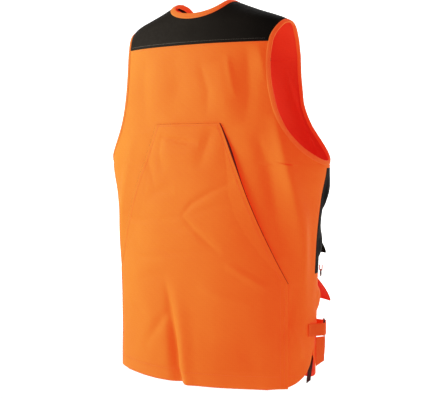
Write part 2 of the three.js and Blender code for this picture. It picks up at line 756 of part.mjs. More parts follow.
// Level, with -Y turned to face out and X along the cloth.
const hangingFrame = (out) => {
  const up = new THREE.Vector3(0, 0, 1);
  return new THREE.Matrix4().makeBasis(up.clone().cross(out), out.clone().negate(), up);
};
const strapLift = cloth + layerGap + strapThick / 2;
const barTurn = buckleWire / 2 + strapClear + strapThick / 2;
const barLift = strapLift + buckleStand + barTurn;
const outerLift = barLift + barTurn;
const innerLift = barLift - barTurn;
const frontBarArc = buckleArc + buckleWide - buckleWire;
// Half a turn round a bar, from the outside to the inside: ahead is 1 where the turn bulges forwards.
const turnRound = (arc, ahead) =>
  steps(6, 0, Math.PI).map((angle) => [
    arc + ahead * barTurn * Math.sin(angle),
    barLift + barTurn * Math.cos(angle),
  ]);

for (const [name, hand] of Object.entries(sides)) {
  const z = -strapDepth;
  const tabPath = [
    ...steps(4, -tabBack, -12).map((arc) => [arc, strapLift]),
    [-4, THREE.MathUtils.lerp(strapLift, outerLift, 0.16)],
    [4, THREE.MathUtils.lerp(strapLift, outerLift, 0.56)],
    [buckleArc - 8, outerLift],
    ...turnRound(buckleArc, 1),
    [buckleArc - tabReturn / 2, innerLift],
  ];
  add(`strap_tab_${name}`, strapAlong(hand, z, tabPath, strapWidth, strapThick), "blaze");

  const [rear, ahead] = [buckleArc, frontBarArc].map((arc) => around(hand, arc, z, barLift));
  const middle = rear.clone().add(ahead).multiplyScalar(0.5);
  const level = ahead.clone().sub(rear).normalize();
  const up = new THREE.Vector3(0, 0, 1);
  const face = level.clone().cross(up);
  const [halfLevel, halfUp, corner] = [rear.distanceTo(ahead) / 2, (buckleLong - buckleWire) / 2, 3];
  const ring = [0, 1, 2, 3].flatMap((quarter) =>
    steps(3, (quarter * Math.PI) / 2, ((quarter + 1) * Math.PI) / 2).map((angle) => {
      const [cx, cy] = [quarter % 3 ? -1 : 1, quarter < 2 ? 1 : -1];
      const u = cx * (halfLevel - corner) + corner * Math.cos(angle);
      const v = cy * (halfUp - corner) + corner * Math.sin(angle);
      const across = level.clone().multiplyScalar(Math.cos(angle)).addScaledVector(up, Math.sin(angle));
      return { point: middle.clone().addScaledVector(level, u).addScaledVector(up, v), normal: face, across };
    }),
  );
  add(`strap_buckle_${name}`, band(ring, buckleWire, buckleWire, true), "plastic");

  const webPath = [
    [frontBarArc + tabReturn + 8, outerLift],
    [frontBarArc + 6, outerLift],
    ...turnRound(frontBarArc, -1),
    [THREE.MathUtils.lerp(frontBarArc, webEndArc, 1 / 3), innerLift],
    [THREE.MathUtils.lerp(frontBarArc, webEndArc, 2 / 3), THREE.MathUtils.lerp(strapLift, innerLift, 0.4)],
    [webEndArc, strapLift],
  ];
  add(`strap_webbing_${name}`, strapAlong(hand, z, webPath, strapWidth, strapThick), "blaze");

  // The tail hangs just below the buckle, twisted to face the back.
  const tailTopZ = z - buckleLong / 2 - tailGap;
  const tailTop = around(hand, tailArc, tailTopZ, tailLift);
  const tailGroup = new THREE.Group();
  const tailOut = around(hand, tailArc, tailTopZ, tailLift + 1).sub(tailTop);
  tailOut.applyAxisAngle(up, hand * tailTurn);
  tailGroup.position.copy(tailTop);
  tailGroup.setRotationFromMatrix(hangingFrame(tailOut));
  vest.add(tailGroup);
  const w = tailWidth / 2;
  const [leftEnd, rightEnd] = hand < 0 ? [0, tailSlant] : [tailSlant, 0];
  const tail = [[-w, 0], [w, 0], [w, rightEnd - tailLength], [-w, leftEnd - tailLength]];
  add(`strap_tail_${name}`, plate(tail, strapThick), "blaze", tailGroup);

  // ---- small ring and its tab
  const ringZ = -ringDepth;
  const ringLift = cloth + layerGap + strapThick + strapClear + ringWire + 1;
  const centre = around(hand, ringArc, ringZ - ringRadius, ringLift);
  const out = around(hand, ringArc, ringZ - ringRadius, ringLift + 1).sub(centre);
  const ringGroup = new THREE.Group();
  ringGroup.position.copy(centre);
  ringGroup.setRotationFromMatrix(hangingFrame(out));
  vest.add(ringGroup);
  add(
    `side_ring_${name}`,
    new THREE.TorusGeometry(ringRadius - ringWire / 2, ringWire / 2, 8, 24).rotateX(Math.PI / 2),
    "metal",
    ringGroup,
  );
  // The tab is a short loop of tape that passes over the ring's top. The ring stands square to it.
  const turn = ringWire / 2 + strapClear + strapThick / 2;
  const loopTurn = steps(5, -Math.PI / 2, Math.PI / 2).map((angle) => [
    turn * Math.sin(angle),
    -turn * Math.cos(angle),
  ]);
  const loopPoints = [[-turn, 9], ...loopTurn, [turn, 9]].map(
    ([y, z]) => new THREE.Vector3(0, y, ringRadius - ringWire / 2 + z),
  );
  const loopStops = loopPoints.map((point, i) => {
    const last = loopPoints[Math.min(i + 1, loopPoints.length - 1)];
    const along = last.clone().sub(loopPoints[Math.max(i - 1, 0)]).normalize();
    const across = new THREE.Vector3(1, 0, 0);
    return { point, across, normal: along.clone().cross(across).normalize() };
  });
  add(`ring_tab_${name}`, band(loopStops, ringTabWidth, strapThick, false), "blaze", ringGroup);

  // ---- pull tab inside the hem
  const hemTabTop = around(hand, hemTabArc, -hemTabDepth, -hemTabInside - strapThick / 2);
  const hemOut = around(hand, hemTabArc, -hemTabDepth, 1 - hemTabInside - strapThick / 2).sub(hemTabTop);
  hemOut.applyAxisAngle(up, hand * hemTabTurn);
  const hemTabGroup = new THREE.Group();
  hemTabGroup.position.copy(hemTabTop);
  hemTabGroup.setRotationFromMatrix(hangingFrame(hemOut));
  vest.add(hemTabGroup);
  const h = hemTabWidth / 2;
  const lean = hand * hemTabSlant;
  const hemTab = [[-h, 6], [h, 6], [lean + h, -hemTabLength], [lean - h, -hemTabLength]];
  add(`hem_tab_${name}`, plate(hemTab, strapThick), "webbing", hemTabGroup);
}

// ================= hanging loop, a strip that sags below its two sewn ends

const loopInside = -layerGap * 2 - loopThick / 2;
const loopPath = steps(12, -1, 1).map((u) => {
  const sag = loopDrop * (1 - u ** 4);
  return [u * loopHalf, -loopDepth - sag, back];
});
add("hang_loop", band(stopsOnSkin(loopPath, loopInside, false), loopWidth, loopThick, false), "webbing");

export default vest;
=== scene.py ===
import math

import bmesh
import bpy
import numpy as np
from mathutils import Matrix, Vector


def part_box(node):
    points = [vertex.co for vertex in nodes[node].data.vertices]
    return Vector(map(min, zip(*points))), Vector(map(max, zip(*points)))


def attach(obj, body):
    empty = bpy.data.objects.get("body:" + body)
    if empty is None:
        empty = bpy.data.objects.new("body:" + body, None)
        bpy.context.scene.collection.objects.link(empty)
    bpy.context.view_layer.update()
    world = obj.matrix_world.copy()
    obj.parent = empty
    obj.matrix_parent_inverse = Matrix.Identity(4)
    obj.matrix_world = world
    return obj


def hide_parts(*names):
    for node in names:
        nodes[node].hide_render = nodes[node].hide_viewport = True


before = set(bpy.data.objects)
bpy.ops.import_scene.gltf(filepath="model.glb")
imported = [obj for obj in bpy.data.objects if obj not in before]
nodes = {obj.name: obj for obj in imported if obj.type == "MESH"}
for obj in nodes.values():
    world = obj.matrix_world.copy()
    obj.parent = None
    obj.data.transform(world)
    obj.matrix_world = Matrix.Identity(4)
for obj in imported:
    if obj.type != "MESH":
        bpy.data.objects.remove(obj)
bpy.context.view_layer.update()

bpy.ops.object.select_all(action="DESELECT")
back, front = 1, -1
hands = {"left": 1, "right": -1}
print("frame loaded")

# the body the vest is cut for, in metres; its length comes from the frame, the other sizes are given
cut = {
    "length": -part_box("back_panel")[0][2],
    "halfWidth": 0.258,
    "backReach": 0.085,
    "frontReach": 0.137,
    "cloth": 0.002,
    "backYoke": 0.088,
    "frontYoke": 0.112,
    "chestSeam": 0.332,
    "waistSeam": 0.534,
    "armBottom": 0.321,
    "backCorner": 0.080,
    "frontCorner": 0.090,
    "placket": 0.009,
    "neckHalf": 0.060,
    "neckBack": 0.026,
    "neckFront": 0.106,
    "neckBand": 0.011,
    "armBand": 0.009,
    "gap": 0.0008,
}


def smoothCurve(points):
    xs, ys = np.array(points, float).T
    rise = np.diff(ys) / np.diff(xs)
    slope = np.concatenate(([rise[0]], np.zeros(len(xs) - 2), [rise[-1]]))
    for i in range(1, len(xs) - 1):
        if rise[i - 1] * rise[i] > 0:
            slope[i] = 2 * rise[i - 1] * rise[i] / (rise[i - 1] + rise[i])

    def read(at):
        at = np.asarray(at, float)
        inner = np.clip(at, xs[0], xs[-1])
        i = np.clip(np.searchsorted(xs, inner, side="right") - 1, 0, len(xs) - 2)
        w = xs[i + 1] - xs[i]
        t = (inner - xs[i]) / w
        u = 1 - t
        value = ys[i] * (1 + 2 * t) * u * u + slope[i] * w * t * u * u
        value = value + ys[i + 1] * (3 - 2 * t) * t * t - slope[i + 1] * w * t * t * u
        return value + slope[0] * np.minimum(at - xs[0], 0) + slope[-1] * np.maximum(at - xs[-1], 0)

    return read


# shares of the length down from the shoulders, against shares of each reach
halfWidthShare = smoothCurve([
    (0, 0.229), (0.026, 0.427), (0.063, 0.71), (0.116, 0.836), (0.211, 0.916), (0.317, 0.947),
    (0.422, 1), (0.515, 0.947), (0.633, 0.905), (0.818, 0.885), (1, 0.878),
])
backShare = smoothCurve([
    (0, 0.49), (0.026, 0.576), (0.063, 0.694), (0.116, 0.835), (0.211, 0.894), (0.317, 0.87),
    (0.422, 0.86), (0.515, 0.93), (0.633, 0.976), (0.818, 0.988), (1, 1),
])
frontShare = smoothCurve([
    (0, 0.25), (0.026, 0.36), (0.063, 0.57), (0.116, 0.825), (0.145, 0.884), (0.148, 0.885), (1, 1),
])
sideShare = smoothCurve([
    (0, -0.015), (0.026, 0.022), (0.063, 0.066), (0.116, 0.124), (0.211, 0.182), (0.422, 0.19),
    (0.633, 0.212), (1, 0.197),
])


def halfWidth(z):
    return cut["halfWidth"] * halfWidthShare(-np.asarray(z) / cut["length"])


def sideY(z):
    return -cut["frontReach"] * sideShare(-np.asarray(z) / cut["length"])


def centreY(z, side):
    down = -np.asarray(z) / cut["length"]
    return np.where(side == back, cut["backReach"] * backShare(down), -cut["frontReach"] * frontShare(down))


def smoothStep(low, high, value):
    t = np.clip((np.asarray(value) - low) / (high - low), 0, 1)
    return t * t * (3 - 2 * t)


# how far round the body a point lies from the middle of the back or front, along the cloth
def arcOf(x, z, side):
    a = halfWidth(z)
    b = np.abs(centreY(z, side) - sideY(z))
    end = np.arcsin(np.clip(x / a, -1, 1))
    parts = (np.arange(16) + 0.5) / 16
    turn = end[..., None] * parts
    speed = np.sqrt((a[..., None] * np.cos(turn)) ** 2 + (b[..., None] * np.sin(turn)) ** 2)
    return speed.mean(axis=-1) * end


# folds in the cloth: x and z in mm along each, then its half width and height in mm.
# "grow" gets deeper down to the hem, "both" fades at both ends
folds = {
    back: [
        ([(46, -528), (32, -585), (20, -653), (12, -711), (8, -765)], 9, -15, "grow"),
        ([(22, -540), (6, -600), (-8, -665), (-15, -720), (-18, -765)], 17, 13, "grow"),
        ([(-30, -610), (-44, -680), (-56, -765)], 22, 5, "grow"),
        ([(90, -560), (78, -640), (66, -765)], 30, 4, "grow"),
        ([(30, -612), (60, -650), (95, -700)], 10, -4, "both"),
        ([(-180, -225), (-200, -300), (-214, -360), (-222, -440), (-227, -540), (-231, -650)], 15, 13, "both"),
        ([(-150, -260), (-174, -340), (-186, -420), (-194, -500)], 13, -6, "both"),
        ([(-214, -550), (-206, -610), (-196, -660)], 9, -3, "both"),
        ([(150, -262), (166, -330), (184, -400), (204, -480), (218, -590)], 20, 6, "both"),
        ([(-128, -88), (-134, -140), (-136, -190), (-128, -250)], 13, -4, "both"),
        ([(-148, -90), (-160, -130), (-166, -170)], 9, 2.6, "both"),
        ([(-78, -120), (-90, -190), (-100, -250)], 26, 5, "both"),
        ([(30, -100), (22, -170), (34, -235)], 30, -4, "both"),
        ([(110, -100), (118, -180), (110, -260)], 26, -5, "both"),
        ([(4, -430), (-22, -402), (-58, -382), (-112, -356)], 5, -2.6, "both"),
        ([(2, -424), (-20, -444), (-52, -470), (-88, -498)], 5, -2.4, "both"),
        ([(184, -428), (130, -440), (60, -438)], 5, -2.0, "both"),
        ([(168, -503), (110, -514), (40, -512)], 5, -2.0, "both"),
        ([(-90, -110), (-100, -150), (-112, -200)], 7, 2.2, "both"),
        ([(-30, -120), (-52, -180), (-50, -230)], 8, -1.8, "both"),
        ([(120, -300), (90, -330), (70, -380)], 7, -1.8, "both"),
        ([(150, -600), (110, -625), (80, -640)], 6, -1.6, "both"),
        ([(-12, -426), (-70, -408), (-132, -398)], 5, -1.2, "both"),
        ([(60, -440), (10, -452), (-30, -448)], 6, -1.4, "both"),
        ([(98, -484), (30, -500), (-52, -502)], 5, -1.7, "both"),
        ([(120, -420), (60, -436), (0, -430)], 5, -1.3, "both"),
        ([(-96, -516), (-135, -538), (-176, -564)], 6, 2.6, "both"),
        ([(66, -268), (20, -277), (-32, -284)], 4.5, -3.0, "both"),
        ([(-62, -252), (-48, -290), (-34, -336)], 14, -4, "both"),
        ([(60, -262), (66, -300), (50, -340)], 10, -2.2, "both"),
        ([(-196, -610), (-214, -660), (-222, -700)], 8, 4, "both"),
        ([(-120, -600), (-140, -680), (-150, -765)], 26, -4, "grow"),
        ([(-70, -590), (-78, -680), (-84, -765)], 26, 3, "grow"),
        ([(100, -395), (60, -380), (20, -372)], 10, -2.4, "both"),
        ([(120, -560), (70, -548), (30, -560)], 9, -2, "both"),
        ([(-40, -560), (-90, -580), (-150, -590)], 10, 2, "both"),
    ],
    front: [
        ([(60, -130), (70, -200), (62, -270)], 22, 4, "both"),
        ([(118, -130), (134, -190), (158, -240), (196, -296)], 9, 8, "both"),
        ([(150, -170), (168, -222), (192, -266), (226, -308)], 8, -8, "both"),
        ([(214, -550), (219, -580), (221, -612)], 14, 7, "both"),
        ([(-214, -550), (-219, -580), (-221, -612)], 14, 7, "both"),
        ([(218, -446), (223, -476), (225, -506)], 13, 6, "both"),
        ([(-218, -446), (-223, -476), (-225, -506)], 13, 6, "both"),
        ([(214, -380), (218, -412), (220, -436)], 11, -6, "both"),
        ([(-214, -380), (-218, -412), (-220, -436)], 11, -6, "both"),
        ([(222, -664), (222, -690), (220, -716)], 12, 4, "both"),
        ([(-222, -664), (-222, -690), (-220, -716)], 12, 4, "both"),
        ([(-118, -130), (-134, -190), (-158, -240), (-196, -296)], 9, 8, "both"),
        ([(-150, -170), (-168, -222), (-192, -266), (-226, -308)], 8, -8, "both"),
        ([(-60, -130), (-72, -210), (-60, -290)], 22, 4, "both"),
        ([(206, -318), (230, -350), (238, -378), (236, -410)], 20, 9, "both"),
        ([(-206, -318), (-230, -350), (-238, -378), (-236, -410)], 20, 9, "both"),
        ([(-160, -420), (-206, -432), (-228, -432)], 12, -6, "both"),
        ([(160, -420), (206, -432), (228, -432)], 12, -6, "both"),
        ([(-60, -345), (-90, -390), (-150, -410)], 9, -3, "both"),
        ([(50, -350), (100, -380), (150, -430)], 9, -3, "both"),
        ([(60, -400), (54, -520), (60, -640), (66, -765)], 18, 4, "grow"),
        ([(-60, -400), (-54, -520), (-60, -640), (-66, -765)], 18, 4, "grow"),
        ([(-36, -180), (-90, -240), (-170, -280)], 12, -3, "both"),
        ([(36, -190), (90, -230), (180, -280)], 12, -3, "both"),
    ],
}
# where the cloth lies still: x, z and half sizes, all in mm, for each pocket, strap and ring
stillPlaces = [(142, -640, 66, 96), (150, -494, 56, 44), (222, -645, 26, 24), (226, -536, 14, 22)]


def oneFold(arc, z, side, fold):
    line, width, height, fade = fold
    knots = np.array(line, float) / 1000
    knotArc = arcOf(knots[:, 0], knots[:, 1], side)
    best = np.full(arc.shape, 9.0)
    along = np.zeros(arc.shape)
    for i in range(len(knots) - 1):
        start = np.array((knotArc[i], knots[i, 1]))
        step = np.array((knotArc[i + 1], knots[i + 1, 1])) - start
        t = np.clip(((arc - start[0]) * step[0] + (z - start[1]) * step[1]) / step.dot(step), 0, 1)
        apart = np.hypot(arc - start[0] - t * step[0], z - start[1] - t * step[1])
        nearer = apart < best
        best = np.where(nearer, apart, best)
        along = np.where(nearer, (i + t) / (len(knots) - 1), along)
    strength = smoothStep(0, 0.75, along) if fade == "grow" else np.sin(math.pi * along) ** 0.7
    spread = width / 1000 * (1 + 0.35 * along)
    return height / 1000 * strength * np.exp(-np.abs(best / spread) ** 1.7)


# slow waves that keep the cloth from lying dead flat
def waves(arc, z, seed):
    rng = np.random.default_rng(seed)
    total = np.zeros(arc.shape)
    for _ in range(14):
        length = rng.uniform(0.05, 0.16)
        lean = rng.uniform(0, math.pi)
        phase = rng.uniform(0, 6.28)
        total += length * np.sin((arc * math.cos(lean) + z * math.sin(lean)) * 6.28 / length + phase)
    return total * 0.0011


def foldLift(x, z, side):
    x, z, side = np.broadcast_arrays(np.asarray(x, float), np.asarray(z, float), side)
    total = np.zeros(x.shape)
    for which in (back, front):
        mask = side == which
        if not mask.any():
            continue
        px, pz = x[mask], z[mask]
        arc = arcOf(px, pz, which)
        lift = waves(arc, pz, 5 if which == back else 9)
        for fold in folds[which]:
            lift = lift + oneFold(arc, pz, which, fold)
        # the seams at the sides, the shoulders and the zip hold the cloth
        held = 0.955 if which == back else 0.985
        lift = lift * smoothStep(0.03, 0.10, -pz - 0.03) * smoothStep(1.0, held, np.abs(px) / halfWidth(pz))
        if which == front:
            lift = lift * smoothStep(0.030, 0.060, np.abs(px))
            for cx, cz, wx, wz in stillPlaces:
                away = np.maximum((np.abs(np.abs(px) - cx / 1000) - wx / 1000), np.abs(pz - cz / 1000) - wz / 1000)
                lift = lift * smoothStep(0, 0.016, away)
        total[mask] = lift
    return total


# the point of the cloth at x and z, and its outward normal; lift moves it off the body
def skin(x, z, side, lift=0.0, folded=True):
    x, z, side, lift = np.broadcast_arrays(np.asarray(x, float), np.asarray(z, float), side, lift)
    a, c = halfWidth(z), sideY(z)
    b = centreY(z, side) - c
    across = np.clip(x / a, -1, 1)
    out = np.sqrt(1 - across * across)
    e = 0.0005
    da = (halfWidth(z + e) - halfWidth(z - e)) / (2 * e)
    dc = (sideY(z + e) - sideY(z - e)) / (2 * e)
    db = (centreY(z + e, side) - centreY(z - e, side)) / (2 * e) - dc
    rise = -(across * across * da) / a - (out * dc) / b - (out * out * db) / b
    normal = np.stack([across / a, out / b, rise], axis=-1)
    normal /= np.linalg.norm(normal, axis=-1, keepdims=True)
    if folded:
        lift = lift + foldLift(x, z, side)
    return np.stack([a * across, c + b * out, z], axis=-1) + normal * lift[..., None], normal


def angleAt(x, z):
    return np.arccos(np.clip(x / halfWidth(z), -1, 1))


def ridgeZ(x):
    low = np.full(np.shape(x), -0.15)
    high = np.zeros(np.shape(x))
    for _ in range(40):
        middle = (low + high) / 2
        wide = halfWidth(middle) > np.abs(x)
        low, high = np.where(wide, middle, low), np.where(wide, high, middle)
    return (low + high) / 2


shoulderHalf = cut["halfWidth"] * 0.71
shoulderZ = float(ridgeZ(shoulderHalf))
armBottomZ = -cut["armBottom"]
armShare = {
    back: smoothCurve([
        (0, 0), (0.147, -0.158), (0.282, -0.184), (0.42, -0.145), (0.597, -0.026), (0.755, 0.197),
        (0.883, 0.54), (1, 1),
    ]),
    front: smoothCurve([
        (0, 0), (0.09, -0.19), (0.19, -0.3), (0.36, -0.345), (0.54, -0.24), (0.74, 0.12), (0.89, 0.6), (1, 1),
    ]),
}


def armX(z, side):
    share = armShare[side]((shoulderZ - z) / (shoulderZ - armBottomZ))
    return shoulderHalf + (float(halfWidth(armBottomZ)) - shoulderHalf) * share


# half the width of a panel at each height: up to the armhole band or the side seam, less a rounded corner
def panelHalf(z, side, corner=0.0):
    slope = (armX(z + 0.001, side) - armX(z - 0.001, side)) / 0.002
    clear = (cut["armBand"] / 2 - 0.002) * np.hypot(1, slope)
    reach = np.abs(centreY(z, side) - sideY(z))
    half = np.minimum(halfWidth(z), armX(z, side) - clear)
    up = np.clip(z + cut["length"], 0, corner) if corner else 0
    inset = corner - np.sqrt(corner**2 - (corner - up) ** 2) if corner else 0
    return np.minimum(half, halfWidth(z) * np.cos(np.minimum(1.2, inset / reach)))


def neckPoint(angle, side, extra):
    half = cut["neckHalf"] + extra
    top = float(ridgeZ(half))
    drop = (cut["neckBack"] if side == back else cut["neckFront"]) + extra
    return half * np.cos(angle), top - (drop + top) * np.sin(angle)


neckOuter = cut["neckHalf"] + cut["neckBand"] - 0.002


def neckHalfAt(z):
    top = float(ridgeZ(neckOuter))
    share = (top - z) / (cut["neckFront"] + cut["neckBand"] + top)
    return neckOuter * np.sqrt(np.clip(1 - share * share, 0, 1))


def neckBackZ(x):
    top = float(ridgeZ(neckOuter))
    drop = cut["neckBack"] + cut["neckBand"] - 0.002 + top
    return top - drop * np.sqrt(np.clip(1 - (x / neckOuter) ** 2, 0, 1))


# materials


class Sock:
    # a value in a material: arithmetic on it adds Math nodes
    def __init__(self, tree, out):
        self.tree, self.out = tree, out

    def math(self, operation, *others):
        return self.tree.node("ShaderNodeMath", {"operation": operation}, [self, *others])

    def __add__(self, other):
        return self.math("ADD", other)

    __radd__ = __add__

    def __sub__(self, other):
        return self.math("SUBTRACT", other)

    def __rsub__(self, other):
        return self.tree.node("ShaderNodeMath", {"operation": "SUBTRACT"}, [other, self])

    def __mul__(self, other):
        return self.math("MULTIPLY", other)

    __rmul__ = __mul__

    def __pow__(self, other):
        return self.math("POWER", other)


class Surface:
    def __init__(self, name, **fixed):
        self.material = bpy.data.materials.new(name)
        self.material.use_nodes = True
        self.tree = self.material.node_tree
        self.shader = self.tree.nodes["Principled BSDF"]
        for socket, value in fixed.items():
            self.shader.inputs[socket.replace("_", " ")].default_value = value

    # adds any node: its settings first, then the values or links of its sockets
    def node(self, kind, settings=None, inputs=(), output=0):
        made = self.tree.nodes.new(kind)
        for key, value in (settings or {}).items():
            if key == "stops":
                ramp = made.color_ramp
                ramp.elements[0].position, ramp.elements[0].color = value[0]
                ramp.elements[1].position, ramp.elements[1].color = value[-1]
                for place, colour in value[1:-1]:
                    ramp.elements.new(place).color = colour
            else:
                setattr(made, key, value)
        pairs = inputs.items() if isinstance(inputs, dict) else enumerate(inputs)
        for key, value in pairs:
            if isinstance(value, Sock):
                self.tree.links.new(value.out, made.inputs[key])
            elif value is not None:
                made.inputs[key].default_value = value
        return Sock(self, made.outputs[output])

    def link(self, value, socket):
        self.tree.links.new(value.out, self.shader.inputs[socket])

    def place(self, scale=(1, 1, 1), turn=0.0, source="UV"):
        where = self.node("ShaderNodeTexCoord", output=source)
        return self.node("ShaderNodeMapping", {}, {"Vector": where, "Scale": scale, "Rotation": (0, 0, turn)})

    def noise(self, where, scale, detail=3.0, rough=0.55):
        return self.node("ShaderNodeTexNoise", {}, {"Vector": where, "Scale": scale, "Detail": detail, "Roughness": rough})

    def bands(self, where, scale):
        settings = {"wave_type": "BANDS", "bands_direction": "X", "wave_profile": "SIN"}
        return self.node("ShaderNodeTexWave", settings, {"Vector": where, "Scale": scale}, output="Fac")

    def mix(self, factor, first, second, blend="MIX"):
        settings = {"data_type": "RGBA", "blend_type": blend}
        return self.node("ShaderNodeMix", settings, {0: factor, 6: first, 7: second}, output=2)

    def bump(self, height, strength, distance, under=None):
        inputs = {"Height": height, "Strength": strength, "Distance": distance, "Normal": under}
        return self.node("ShaderNodeBump", {}, inputs)


clothLook = {
    "threadPitch": 0.0007, "weaveDepth": 0.00012, "creaseDepth": 0.0022, "creaseShare": 1.2, "weaveTone": 0.10,
}


# cloth of two mixed colours with a twill weave and slight creases; glow is painted light, a red emission that keeps the
# cloth red orange where it lies in shade
def clothMaterial(name, deep, bright, glow=None, roughness=0.74, sheen=0.04, ribs=1.0, pitch=None, shine=0.12):
    look = clothLook
    m = Surface(name, Roughness=roughness, Sheen_Weight=sheen, Sheen_Roughness=0.4)
    m.shader.inputs["Sheen Tint"].default_value = (*bright, 1)
    m.shader.inputs["Specular IOR Level"].default_value = shine
    threads = 1 / (pitch or look["threadPitch"]) / 20
    where = m.place()
    turned = m.place(turn=math.pi / 2)
    warp, weft = m.bands(where, threads), m.bands(turned, threads)
    twill = m.bands(m.place(turn=math.radians(58)), threads * 0.5)
    weave = warp * 0.4 * ribs + weft * 0.4 + twill * 0.35
    broad = m.noise(where, 9.0, 2.0)
    fine = m.noise(where, 160.0, 4.0)
    tone = broad * 0.75 + fine * 0.25
    colour = m.mix(tone, (*deep, 1), (*bright, 1))
    # the colour turns darker along the weave's bands
    weaveToned = m.mix(weave * look["weaveTone"], colour, (*[v * 0.55 for v in deep], 1))
    m.link(weaveToned, "Base Color")
    m.link(m.node("ShaderNodeMapRange", {}, [fine, 0.3, 0.7, roughness - 0.06, roughness + 0.08]), "Roughness")
    crumple = m.noise(where, 38.0, 5.0, 0.6)
    broadCrumple = m.noise(where, 15.0, 3.0, 0.5)
    soft = m.bump(crumple * 0.4 + broadCrumple * look["creaseShare"], 0.45, look["creaseDepth"])
    m.link(m.bump(weave, 0.5, look["weaveDepth"], soft), "Normal")
    # painted light: the red glow stands in for the fill and bounce light on the shaded cloth
    if glow:
        m.shader.inputs["Emission Color"].default_value = (*glow, 1)
        m.shader.inputs["Emission Strength"].default_value = 1.0
    return m.material


def smoothMaterial(name, colour, roughness, metallic=0.0, grain=220.0, glow=0.0):
    m = Surface(name, Metallic=metallic, Roughness=roughness, Emission_Strength=1.0)
    # painted light: a red emission of strength glow, used for the orange thread
    m.shader.inputs["Emission Color"].default_value = (glow, 0, 0, 1)
    where = m.place(source="Object")
    speck = m.noise(where, grain, 4.0)
    wear = m.noise(where, grain / 6, 3.0)
    m.link(m.mix(wear, (*colour, 1), (*[min(1, v * 1.8 + 0.01) for v in colour], 1)), "Base Color")
    m.link(m.node("ShaderNodeMapRange", {}, [speck, 0.3, 0.7, roughness * 0.8, roughness * 1.2]), "Roughness")
    m.link(m.bump(speck, 0.25, 0.0001), "Normal")
    return m.material


# painted light: a dark olive base under a strong red glow, so the blaze cloth stays red orange in its folds and shade
blaze = clothMaterial("blaze cloth", (0.13, 0.145, 0.013), (0.18, 0.208, 0.021), glow=(0.68, 0.003, 0.003), sheen=0.015)
# red orange lining for the inner faces; its deep red is partly the lining's own colour and partly painted bounce light
# for the shaded inside, and its glow is painted light
lining = clothMaterial("red orange lining", (0.46, 0.045, 0.014), (0.56, 0.07, 0.020), glow=(0.31, 0.004, 0.003))
umber = clothMaterial("umber cloth", (0.006, 0.0046, 0.0041), (0.013, 0.0102, 0.0088), roughness=0.66, sheen=0.0, shine=0.05)
# painted shade: near-black red cloth with a faint red glow, laid where the gap under each pouch mouth shows
mouthShade = clothMaterial("shaded mouth", (0.016, 0.003, 0.002), (0.028, 0.005, 0.004), glow=(0.055, 0.003, 0.002), sheen=0.0)
# painted light: the binding tape glows red like the blaze cloth
bindingCloth = clothMaterial(
    "binding tape", (0.12, 0.15, 0.018), (0.17, 0.20, 0.028), glow=(0.68, 0.008, 0.006), ribs=2.0
)
# blaze webbing for straps, tabs and tails: redder than the blaze cloth, partly painted shade for the straps at the
# shaded side; its glow is painted light
blazeWebbing = clothMaterial(
    "blaze webbing", (0.34, 0.10, 0.014), (0.42, 0.14, 0.020), glow=(0.46, 0.003, 0.001), pitch=0.0016
)
# dark red webbing for the hem tabs and hang loop; its darkness is partly painted shade, for pieces that hang in shadow
darkShadedWebbing = clothMaterial("dark shaded webbing", (0.055, 0.012, 0.011), (0.085, 0.018, 0.016), pitch=0.0016)
tapeCloth = clothMaterial("zip tape cloth", (0.02, 0.016, 0.014), (0.035, 0.028, 0.024), pitch=0.0011)
# painted light: the orange thread glows red like the blaze cloth
threadOrange = smoothMaterial("orange thread", (0.13, 0.125, 0.014), 0.7, grain=900.0, glow=0.64)
threadDark = smoothMaterial("dark thread", (0.05, 0.04, 0.034), 0.6, grain=900.0)
darkMetal = smoothMaterial("lacquered steel", (0.09, 0.08, 0.075), 0.32, metallic=0.9)
blackPlastic = smoothMaterial("black acetal", (0.02, 0.018, 0.017), 0.42)
print("materials made")

# mesh builders


def makeObject(name, points, faces, materials, faceMaterial=None, uv=None, smooth=True):
    mesh = bpy.data.meshes.new(name)
    mesh.from_pydata([tuple(p) for p in points], [], [tuple(int(i) for i in f) for f in faces])
    for material in materials:
        mesh.materials.append(material)
    if faceMaterial is not None:
        mesh.polygons.foreach_set("material_index", np.asarray(faceMaterial, dtype=np.int32))
    if uv is not None:
        layer = mesh.uv_layers.new(name="cloth")
        loops = np.zeros(len(mesh.loops), dtype=np.int32)
        mesh.loops.foreach_get("vertex_index", loops)
        layer.data.foreach_set("uv", np.asarray(uv, float)[loops].ravel())
    mesh.polygons.foreach_set("use_smooth", np.full(len(mesh.polygons), smooth))
    mesh.update()
    made = bpy.data.objects.new(name, mesh)
    bpy.context.scene.collection.objects.link(made)
    return made


def enclosedVolume(points, faces):
    p = points[np.asarray(faces)]
    first = np.einsum("ij,ij->i", p[:, 0], np.cross(p[:, 1], p[:, 2])).sum()
    return first + np.einsum("ij,ij->i", p[:, 0], np.cross(p[:, 2], p[:, 3])).sum()


